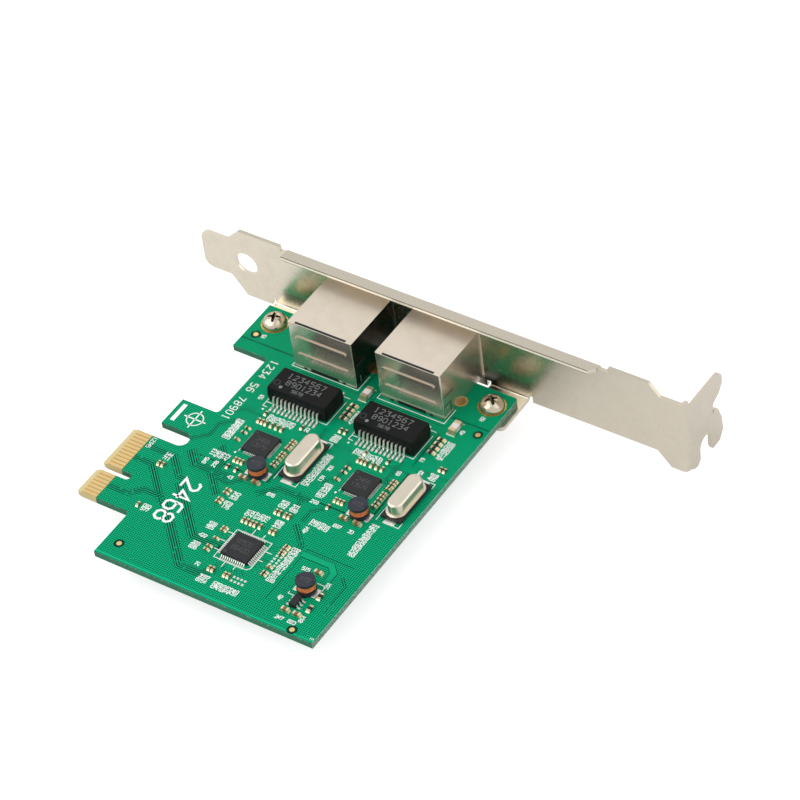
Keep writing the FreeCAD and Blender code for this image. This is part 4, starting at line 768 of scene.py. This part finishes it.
# Copper under the lacquer
BUNDLES = [
    ([(18, 3.6), (22, -0.4), (29.2, -7.6), (36.2, -7.6)], 4, 0.5),
    ([(18.4, -2.4), (22.6, -6.6), (31.4, -15.4), (36.5, -15.4), (38.8, -13.1)], 4, 0.5),
    ([(5.2, 9.4), (12.4, 9.4), (16.8, 5), (18.6, 5)], 3, 0.5),
    ([(5.2, 5.4), (9.6, 5.4), (17.6, -2.6), (19, -2.6)], 3, 0.5),
    ([(5.2, -3.8), (10.2, -3.8), (12.6, -1.4), (17.4, -1.4)], 3, 0.5),
    ([(46, 5), (50.5, 0.5), (50.5, -0.5)], 2, 0.6),
    ([(33.8, 8.2), (37.4, 11.8), (44.8, 11.8)], 3, 0.5),
    ([(23.6, 8), (26.8, 8), (30.6, 11.8)], 2, 0.5),
    ([(19.4, 16.6), (22.4, 13.6), (22.4, 8.6), (26.8, 4.2)], 3, 0.5),
    ([(14.6, 12.6), (17.8, 9.4), (26.4, 9.4)], 4, 0.5),
    ([(55.8, 30.2), (55.8, 24), (57.6, 22.2), (57.6, 15.4)], 2, 0.5),
    ([(40.8, 44.6), (40.8, 41.6), (38, 38.8)], 1, 0.5),
    ([(46.2, 24.6), (46.2, 19.4), (44, 17.2)], 2, 0.5),
    ([(41.4, 12.6), (43.2, 10.8), (43.2, 5)], 2, 0.45),
    ([(62.8, -3), (64.6, -4.8), (64.6, -12.4)], 1, 0.5),
    ([(12.4, 15), (15.4, 18), (15.4, 21.4), (19.2, 25.2)], 2, 0.5),
    ([(49.4, 12), (46.8, 9.4), (46.8, 6.2)], 2, 0.45),
    ([(36.4, 26), (36.4, 30.6)], 2, 0.5),
    ([(15.8, 25.6), (18.4, 28.2), (20.6, 28.2)], 1, 0.5),
]


def lay(bundles, face, out):
    """Parallel traces on one face of the board, each between two dark lines."""
    for path, count, pitch in bundles:
        for number in range(count):
            lane = shifted(path, (number - (count - 1) / 2) * pitch)
            traces.strip(lane, 0.22, face, face + out * COPPER_THICK)
            for side in (-0.19, 0.19):
                shade.strip(shifted(lane, side), 0.14, face, face + out * 0.006)


lay(BUNDLES, TOP, 1)
WIDE_TRACE = [(52, -1.3), (59, -1.3), (60.6, -2.9), (60.6, -5.2)]
traces.strip(WIDE_TRACE, 1.3, TOP, COPPER_HIGH)
for side in (-0.72, 0.72):
    shade.strip(shifted(WIDE_TRACE, side), 0.12, TOP, TOP + 0.006)
for number in range(12):
    place = (number - 5.5) * 0.5
    spread_out = place * 1.55
    for dx, dy in ((0, 1), (0, -1), (1, 0), (-1, 0)):
        if number % 3 == 1 and (dx or dy > 0):
            continue
        path = [(SWITCH_X + dx * reach + dy * share, SWITCH_Y + dy * reach + dx * share)
                for reach, share in ((4.2, place), (4.9, place), (6.2 + 0.12 * (number % 4), spread_out))]
        traces.strip(path, 0.17, TOP, COPPER_HIGH)
        shade.strip(shifted(path, 0.14), 0.08, TOP, TOP + 0.006)
for middle in TRANSFORMERS:
    for number in range(12):
        x = middle + number - 5.5
        path = [(x, 30.0), (x, 28.9), (middle + (x - middle) * 0.6 - 1.0, 26.9)]
        traces.strip(path, 0.2, TOP, COPPER_HIGH)

SOLDER_SIDE = [
    ([(5.2, 9.2), (12, 9.2), (24, -2.8), (36, -2.8)], 3, 0.5),
    ([(5.2, -3.6), (10, -3.6), (16, -9.6), (34, -9.6)], 3, 0.5),
    ([(27, 15.5), (27, 4), (34, -3)], 4, 0.5),
    ([(52, 15.5), (52, 6), (46, 0)], 4, 0.5),
    ([(24, 43.5), (24, 30), (26, 28), (26, 24.5)], 4, 0.6),
    ([(46, 44), (46, 31), (50, 27), (50, 24.5)], 4, 0.6),
    ([(58, -4), (58, -12), (52, -18), (30, -18)], 2, 0.7),
]
lay(SOLDER_SIDE, BOTTOM, -1)

# Splits between copper areas
SPLITS = [
    [(4.4, 45.6), (18.6, 45.6)], [(57.9, 45.6), (66.9, 45.6)], [(36.6, 45), (36.6, 56.2)],
    [(19.4, 42.4), (57.6, 42.4)], [(16.9, 27.6), (34.2, 27.6), (34.2, 12.2), (16.9, 12.2)],
    [(34.2, 27.6), (58.8, 27.6), (58.8, 12.2), (46, 12.2)],
    [(52.2, -15), (52.2, 0.2), (63.6, 0.2)], [(58.2, 40.2), (58.2, 29.6), (66.9, 29.6)],
]
for path in SPLITS:
    shade.strip(path, 0.22, TOP, TOP + 0.005)

# Round gold targets in bare rings
for x, y in ((17.0, -16.35), (61.65, -19.3), (65.4, 43.65), (6.85, 47.5)):
    shade.ring(x, y, 2.3, 1.2, TOP, TOP + 0.012, 32)
    gold.disc(x, y, 1.15, TOP, TOP + 0.03, 24)

# Vias, kept clear of parts and print
blocked = []
for name in nodes.keys():
    if name.startswith(("bracket", "jack", "plated", "edge", "circuit")):
        low, high = (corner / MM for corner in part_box(name))
        if name not in ("circuit_board", "edge_contacts") and not name.startswith("bracket"):
            blocked.append((low.x, high.x, low.y, high.y))
    else:
        blocked += [(low.x, high.x, low.y, high.y) for low, high in islands(name)]
KEPT_CLEAR = [
    (14.3, 16.6, 23, 42.7), (5, 12.9, 17.4, 23.2), (18.2, 23.1, -7.4, 5.4), (5.4, 6.6, 8, 12),
    (0, 5.2, -9, 17), (15.8, 18.2, -17.6, -15.1), (60.4, 62.9, -20.5, -18.1), (64.2, 66.6, 42.4, 44.9),
    (4.5, 12, 48.5, 56), (60, 67, 48.5, 56), (0, 14, 23.4, 43.2),
]
blocked += LABELS + KEPT_CLEAR
draw = random.Random(11)
placed = []
while len(placed) < 300:
    x, y = draw.uniform(5.8, 66.4), draw.uniform(-19.8, 48.4)
    if x < 14.4 and (y < -7.6 or 11.6 < y < 16.8):
        continue
    if any(x0 - 0.5 < x < x1 + 0.5 and y0 - 0.5 < y < y1 + 0.5 for x0, x1, y0, y1 in blocked):
        continue
    if any((x - other[0]) ** 2 + (y - other[1]) ** 2 < 1.2 for other in placed):
        continue
    placed.append((x, y))
    for face, out in ((TOP, 1), (BOTTOM, -1)):
        traces.ring(x, y, 0.62, 0.3, face, face + out * 0.018, 12)
        shade.disc(x, y, 0.3, face, face + out * 0.004, 8)

# Ring of vias round each screw
for x in SCREWS:
    for place in circle(x, SCREW_Y, 2.93, 14):
        shade.disc(*place, 0.22, PLATED, PLATED + 0.006, 8)


# Pan heads with a cross recess, in place of the plain screws: radius and height over the seat
HEAD_ROUND = [(0.0, 2.2), (0.8, 2.16), (1.4, 2.0), (1.9, 1.72), (2.3, 1.34), (2.55, 0.96), (2.7, 0.55),
              (2.75, 0.25)]
CROWN_RADIUS = 2.3
THREAD_RADIUS = 1.45
ARM_HALF, ARM_REACH, CROSS_DEEP = 0.36, 1.62, 1.15
STEP_OUT = 0.1
SIDES_ROUND = 96


def head_level(radius):
    """Height of the rounded head over its seat."""
    for (near, high), (far, low) in zip(HEAD_ROUND, HEAD_ROUND[1:]):
        if radius <= far:
            share = (radius - near) / (far - near)
            return high + (low - high) * share
    return HEAD_ROUND[-1][1]


def cross_depth(right, ahead):
    """Depth of the recess: deepest in the middle, with arms that rise to the head's surface."""
    narrow, along = sorted((abs(right), abs(ahead)))
    inside = min(max((ARM_HALF * (1.15 - 0.3 * along) - narrow) / 0.1, 0.0), 1.0)
    return inside * CROSS_DEEP * max(1 - (along / ARM_REACH) ** 2, 0.0)


heads = Pile()
# Faces sunk in the cross recess get the darker steel, as painted shade.
recess = Pile()
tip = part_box("bracket_screws")[0].z / MM
rings = round(CROWN_RADIUS / STEP_OUT)
for x, turned in zip(SCREWS, (20, 48)):
    turned = math.radians(turned)
    points = []
    for ring in range(rings + 1):
        for number in range(SIDES_ROUND):
            angle = 2 * math.pi * number / SIDES_ROUND
            radius = max(ring * STEP_OUT, 0.01)
            cross = angle - turned
            depth = cross_depth(radius * math.cos(cross), radius * math.sin(cross))
            points.append((x + radius * math.cos(angle), SCREW_Y + radius * math.sin(angle),
                           PLATED + head_level(radius) - depth))
    for pile, deep in ((heads, False), (recess, True)):
        faces = []
        for ring in range(rings):
            for number in range(SIDES_ROUND):
                angle = 2 * math.pi * (number + 0.5) / SIDES_ROUND - turned
                radius = (ring + 0.5) * STEP_OUT
                sunk = cross_depth(radius * math.cos(angle), radius * math.sin(angle)) > 0.12
                if sunk == deep:
                    here, there = ring * SIDES_ROUND, ring * SIDES_ROUND + SIDES_ROUND
                    after = (number + 1) % SIDES_ROUND
                    faces.append((here + number, there + number, there + after, here + after))
        pile.add(points, faces)
    shank = [(0.01, tip), (1.2, tip), (THREAD_RADIUS, tip + 0.3), (THREAD_RADIUS, PLATED), (2.6, PLATED)]
    rim = [(radius, PLATED + level) for radius, level in HEAD_ROUND if radius >= CROWN_RADIUS]
    heads.lathe(x, SCREW_Y, shank + rim[::-1], 48)
heads_piece = heads.piece("screw_heads", "screw", curved=True)
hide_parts("bracket_screws")
recess.piece("screw_recesses", "recess", curved=True)

# Plated holes of the shield tails
stains = Pile()
for x in SHIELD_TAILS:
    gold.ring(x, TAIL_Y, 3.1, 2.3, PLATED, PLATED + 0.02, 28)
    stains.disc(x, TAIL_Y, 2.35, PLATED, PLATED + 0.035, 24)
stains.piece("stained_rings", "bronze")

# Solder side: joints of the jack contacts and shields, rings of the screws
for middle, rear in JACKS:
    for pin in range(8):
        x = middle + 1.02 * (pin - 3.5)
        y = rear + 1.6 + 2.54 * (pin % 2)
        solder.lathe(x, y, [(0.02, -1.75), (0.25, -1.7), (0.32, -1.3), (0.5, -0.98), (0.78, BOTTOM)], 16)
        shade.ring(x, y, 2.0, 1.5, BOTTOM, BOTTOM - 0.005, 20)
    for x in (middle - 7.85, middle + 7.85):
        solder.lathe(x, TAIL_Y, [(0.02, -1.3), (0.5, -1.25), (0.9, -1.05), (1.5, BOTTOM)], 24)
        shade.ring(x, TAIL_Y, 3.5, 3.0, BOTTOM, BOTTOM - 0.005, 28)
for x in SCREWS:
    gold.ring(x, SCREW_Y, 6.1, 3.3, BOTTOM, BOTTOM - 0.03, 32)

# Dark lines between the edge contacts
gaps = Pile()
for side, count in ((1, 10), (-1, 6)):
    for number in range(count):
        y = side * (2.0 + number)
        gaps.patch(1.6, TABS_END - 0.05, y - 0.05, y + 0.05, TOP, TOP + 0.01)
gaps.piece("contact_gaps", "tab_gap")

# Jack shields: cuts of the roof, the rear and the sides, and a dimple on each side
dark = Pile()
bright = Pile()
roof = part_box("jack_1_shell")[1].z / MM
for middle, rear in JACKS:
    dark.patch(middle - 6.4, middle + 6.4, rear + 0.15, rear + 0.75, roof, roof + 0.008)
    for left, right, high in ((-3.6, 3.4, 0.75), (-5.4, -4.6, 0.4), (4.4, 5.2, 0.4)):
        dark.box(middle + left, middle + right, rear - 0.04, rear + 0.02, PLATED, PLATED + high)
    for side in (-1, 1):
        wall = middle + side * JACK_HALF
        x0, x1 = sorted((wall - side * 0.02, wall + side * 0.03))
        dark.box(x0, x1, rear + 0.4, rear + 2.9, PLATED + 3.25, PLATED + 3.45)
        dark.box(x0, x1, rear + 2.7, rear + 2.9, PLATED + 0.3, PLATED + 3.3)
        x0, x1 = sorted((wall - side * 0.02, wall + side * 0.1))
        bright.box(x0, x1, rear + 1.4, rear + 1.9, PLATED + 1.0, PLATED + 2.5)
dark.piece("shield_cuts", "black")
bright.piece("shield_dimples", "shield")


# Solder on chip parts

def wrap_end(pile, low, high, axis, side, share):
    """A tinned end that wraps a chip part, with a solder fillet down to its pad."""
    length = high[axis] - low[axis]
    end = low[axis] if side < 0 else high[axis]
    inner = end - side * length * share
    other = 1 - axis
    skin = 0.025
    spans = [None, None]
    spans[axis] = sorted((end + side * skin, inner))
    spans[other] = [low[other] - skin, high[other] + skin]
    pile.patch(*spans[0], *spans[1], TOP, high.z + skin)
    foot, rise = 0.3, (high.z - TOP) * 0.7
    a, b = end + side * skin, end + side * foot
    c, d = low[other] - 0.06, high[other] + 0.06
    corners = [(a, c, TOP + rise), (a, d, TOP + rise), (b, d, TOP + 0.04), (b, c, TOP + 0.04),
               (a, c, TOP), (a, d, TOP), (b, d, TOP), (b, c, TOP)]
    if axis == 1:
        corners = [(y, x, z) for x, y, z in corners]
    faces = [(0, 1, 2, 3), (3, 2, 6, 7), (0, 3, 7, 4), (1, 5, 6, 2)]
    if (side > 0) != (axis == 1):
        faces = [face[::-1] for face in faces]
    pile.add(corners, faces)


CHIP_LENGTH = 1.0
for name in ("capacitor_bodies", "resistor_bodies"):
    for low, high in islands(name):
        size = high - low
        axis = 0 if size.x > size.y else 1
        if abs(size[axis] - CHIP_LENGTH) < 0.05:
            for side in (-1, 1):
                wrap_end(ends, low, high, axis, side, 0.27)
for name in ("capacitor_ends", "resistor_ends", "surge_capacitor_ends"):
    boxes = islands(name)
    for low, high in boxes:
        size = high - low
        axis = 0 if size.x < size.y else 1
        partner = min((abs((other[0][axis] + other[1][axis]) - (low[axis] + high[axis])), number)
                      for number, other in enumerate(boxes)
                      if abs(other[0][1 - axis] - low[1 - axis]) < 0.05 and other[0] is not low)[1]
        side = -1 if boxes[partner][0][axis] > low[axis] else 1
        wrap_end(ends, low, high, axis, side, 0.98)

# Pads and contacts of the leadless controllers

def side_box(middle, dx, dy, place, near, far, half, high):
    """A low box on one side of a controller: near and far off its middle, at a place along the side."""
    if dx:
        x0, x1 = sorted((middle + dx * near, middle + dx * far))
        y0, y1 = CONTROLLER_Y + place - half, CONTROLLER_Y + place + half
    else:
        x0, x1 = middle + place - half, middle + place + half
        y0, y1 = sorted((CONTROLLER_Y + dy * near, CONTROLLER_Y + dy * far))
    solder.box(x0, x1, y0, y1, TOP, TOP + high)


for middle in CONTROLLERS:
    for number in range(12):
        place = (number - 5.5) * 0.4
        for dx, dy in ((1, 0), (-1, 0), (0, 1), (0, -1)):
            side_box(middle, dx, dy, place, 2.97, 3.62, 0.11, 0.05)
            side_box(middle, dx, dy, place, 2.99, 3.03, 0.1, 0.22)

# Pads and fillets of the gull-wing leads
for part, reach in (("transformer_1", 0.45), ("transformer_2", 0.45), ("switch", 0.3), ("regulator", 0.25)):
    name = part + "_leads"
    middle = sum(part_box(name), Vector()) / 2 / MM
    for low, high in islands(name):
        away = (low + high) / 2 - middle
        axis = 0 if (high.x - low.x) > (high.y - low.y) else 1
        side = 1 if away[axis] > 0 else -1
        tip = high[axis] if side > 0 else low[axis]
        spans = [None, None]
        spans[axis] = sorted((tip + side * reach, tip - side * reach * 2.2))
        grow = 0.06 if reach > 0.4 else 0.02
        spans[1 - axis] = [low[1 - axis] - grow, high[1 - axis] + grow]
        solder.patch(*spans[0], *spans[1], TOP, TOP + 0.035)

# Terminals of inductors and crystals
for part in ("inductor_1", "inductor_2", "inductor_3", "crystal_1", "crystal_2"):
    for low, high in islands(part + "_terminals"):
        solder.patch(low.x - 0.25, high.x + 0.25, low.y - 0.12, high.y + 0.12, TOP, TOP + 0.05)

# Marks of the transformers, controllers, switch chip and drums
marks = Pile()
faint = Pile()
MARK_THICK = 0.012
FAINT_THICK = 0.006
for middle in TRANSFORMERS:
    top = TRANSFORMER_TOP
    write(marks, "1234567", middle - 4.9, 36.3, 1.35, 0.1, top, MARK_THICK, spacing=1.24)
    write(marks, "8901234", middle - 4.2, 34.4, 1.3, 0.1, top, MARK_THICK, spacing=1.2)
    write(marks, "5678", middle - 1.8, 32.95, 0.8, 0.12, top, MARK_THICK, spacing=1.1)
    marks.ring(middle - 4.6, 33.3, 0.8, 0.1, top, top + 0.01, 20)
    faint.ring(middle - 6.1, 34.2, 1.5, 1.25, top, top + FAINT_THICK, 28)
for middle in CONTROLLERS:
    top = CONTROLLER_TOP
    write(faint, "2468", middle - 1.6, 20.5, 1.1, 0.1, top, FAINT_THICK)
    write(faint, "13579", middle - 1.9, 18.9, 1.0, 0.1, top, FAINT_THICK)
    faint.ring(middle - 2.4, 22.5, 0.5, 0.3, top, top + FAINT_THICK, 16)
write(faint, "97531", SWITCH_X - 2, SWITCH_Y + 0.5, 1.1, 0.1, SWITCH_TOP, FAINT_THICK)
write(faint, "86420", SWITCH_X - 2, SWITCH_Y - 1.3, 1.1, 0.1, SWITCH_TOP, FAINT_THICK)
faint.ring(SWITCH_X - 2.5, SWITCH_Y - 2.5, 0.6, 0.38, SWITCH_TOP, SWITCH_TOP + FAINT_THICK, 16)
for x, y in DRUMS:
    write(faint, "473", x - 1.15, y - 0.5, 1.0, 0.12, DRUM_TOP, FAINT_THICK)

# Wire notches in the upper flanges of the drums
notches = Pile()
for x, y in DRUMS:
    for side in (-1, 1):
        near, far = sorted((x + side * 1.5, x + side * 2.03))
        notches.patch(near, far, y - 0.33, y + 0.33, DRUM_TOP, DRUM_TOP + 0.008)
notches.piece("drum_notches", "black")

# Wire windings in place of the plain coils, each round a plain sleeve
TURNS, STEPS, AROUND = 5, 36, 8
WINDING_RADIUS, SLEEVE_RADIUS = 1.95, 1.45
for number, (x, y) in enumerate(DRUMS, start=1):
    coil = Pile()
    low, high = (corner.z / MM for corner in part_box(f"inductor_{number}_coil"))
    wire = (high - low) / TURNS / 2
    points, faces = [], []
    for step in range(TURNS * STEPS + 1):
        turn = 2 * math.pi * step / STEPS
        level = low + wire + (high - low - 2 * wire) * step / (TURNS * STEPS)
        for out, rise in circle(WINDING_RADIUS - wire, 0, wire, AROUND):
            points.append((x + out * math.cos(turn), y + out * math.sin(turn), level + rise))
    for step in range(TURNS * STEPS):
        for face in range(AROUND):
            here = step * AROUND + face
            there = step * AROUND + (face + 1) % AROUND
            faces.append((here, here + AROUND, there + AROUND, there))
    coil.add(points, faces)
    coil.lathe(x, y, [(SLEEVE_RADIUS, low), (SLEEVE_RADIUS, high)], 24)
    winding = coil.piece(f"inductor_{number}_winding", "wire", curved=True)
    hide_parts(f"inductor_{number}_coil")

ink.piece("silkscreen", "ink")
traces.piece("copper_traces", "trace")
shade.piece("copper_gaps", "gap")
solder.piece("solder_joints", "solder")
ends.piece("chip_ends", "chip_tin")
gold.piece("gold_targets", "gold")
marks.piece("chip_print", "marking")
faint.piece("chip_print_faint", "faint")


# Camera at the photograph's viewing angle

CAMERA_PLACE = Vector((401.181, -402.173, 551.980))
CAMERA_AZIMUTH = math.radians(38.515)
CAMERA_ELEVATION = math.radians(43.970)
CAMERA_ROLL = math.radians(-7.844)
FOCAL_PIXELS = 3810.6
PICTURE_PIXELS = 800
SENSOR = 36.0


def make_camera():
    flat = math.cos(CAMERA_ELEVATION)
    back = Vector((math.sin(CAMERA_AZIMUTH) * flat, -math.cos(CAMERA_AZIMUTH) * flat,
                   math.sin(CAMERA_ELEVATION)))
    right = (-back).cross(Vector((0, 0, 1))).normalized()
    up = right.cross(-back)
    turned_right = right * math.cos(CAMERA_ROLL) + up * math.sin(CAMERA_ROLL)
    turned_up = up * math.cos(CAMERA_ROLL) - right * math.sin(CAMERA_ROLL)
    lens = bpy.data.cameras.new("camera")
    lens.sensor_width = SENSOR
    lens.lens = SENSOR * FOCAL_PIXELS / PICTURE_PIXELS
    lens.clip_start = 0.01
    lens.clip_end = 20
    camera = added("camera", lens)
    rotation = Matrix((turned_right, turned_up, back)).transposed()
    camera.matrix_world = Matrix.Translation(CAMERA_PLACE * MM) @ rotation.to_4x4()
    bpy.context.scene.camera = camera


# Floor, world and lamps

LIT_PLACE = (40, 35, 0)


def make_stage():
    """A white floor at the card's lowest point that keeps the card's shadow."""
    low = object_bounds()[0][2]
    half = 3.0
    mesh = bpy.data.meshes.new("floor")
    corners = [(-half, -half, low), (half, -half, low), (half, half, low), (-half, half, low)]
    mesh.from_pydata(corners, [], [(0, 1, 2, 3)])
    floor = added("floor", mesh)
    look = Shader("floor", (0.55, 0.55, 0.55, 1.0), 0.9, specular=0.1)
    rays = look.node("ShaderNodeLightPath")
    mirrored = look.math("MULTIPLY", rays.outputs["Is Glossy Ray"], 0.42)
    direct = look.math("MULTIPLY", rays.outputs["Is Camera Ray"], 0.7)
    seen = look.math("MAXIMUM", direct, mirrored)
    seen = look.math("MAXIMUM", seen, rays.outputs["Is Transmission Ray"])
    look.surface.inputs["Emission Color"].default_value = (1, 1, 1, 1)
    look.link(seen, look.surface.inputs["Emission Strength"])
    mesh.materials.append(look.material)


def make_world():
    """White to the camera and to reflections, a soft grey light on the object."""
    world = bpy.data.worlds.new("studio")
    world.use_nodes = True
    tree = world.node_tree
    background = tree.nodes["Background"]
    rays = tree.nodes.new("ShaderNodeLightPath")
    strength = tree.nodes.new("ShaderNodeMapRange")
    strength.inputs["To Min"].default_value = 0.62
    strength.inputs["To Max"].default_value = 1.0
    seen = rays.outputs["Is Camera Ray"]
    for ray in ("Is Glossy Ray", "Is Transmission Ray"):
        either = tree.nodes.new("ShaderNodeMath")
        either.operation = "MAXIMUM"
        tree.links.new(seen, either.inputs[0])
        tree.links.new(rays.outputs[ray], either.inputs[1])
        seen = either.outputs[0]
    tree.links.new(seen, strength.inputs["Value"])
    background.inputs["Color"].default_value = (1, 1, 1, 1)
    tree.links.new(strength.outputs["Result"], background.inputs["Strength"])
    bpy.context.scene.world = world
    bpy.context.scene.view_settings.view_transform = "Standard"


def lamp(name, place, size, watts):
    """A square soft box that looks at the board."""
    light = bpy.data.lights.new(name, "AREA")
    light.shape = "SQUARE"
    light.size = size
    light.energy = watts
    holder = added(name, light)
    holder.location = Vector(place) * MM
    aim = Vector(LIT_PLACE) * MM - holder.location
    holder.rotation_euler = aim.to_track_quat("-Z", "Y").to_euler()


make_camera()
make_stage()
make_world()
lamp("key", (-420, -360, 620), 1.1, 5.5)
lamp("fill", (560, 240, 520), 0.9, 1.5)

bpy.context.view_layer.update()
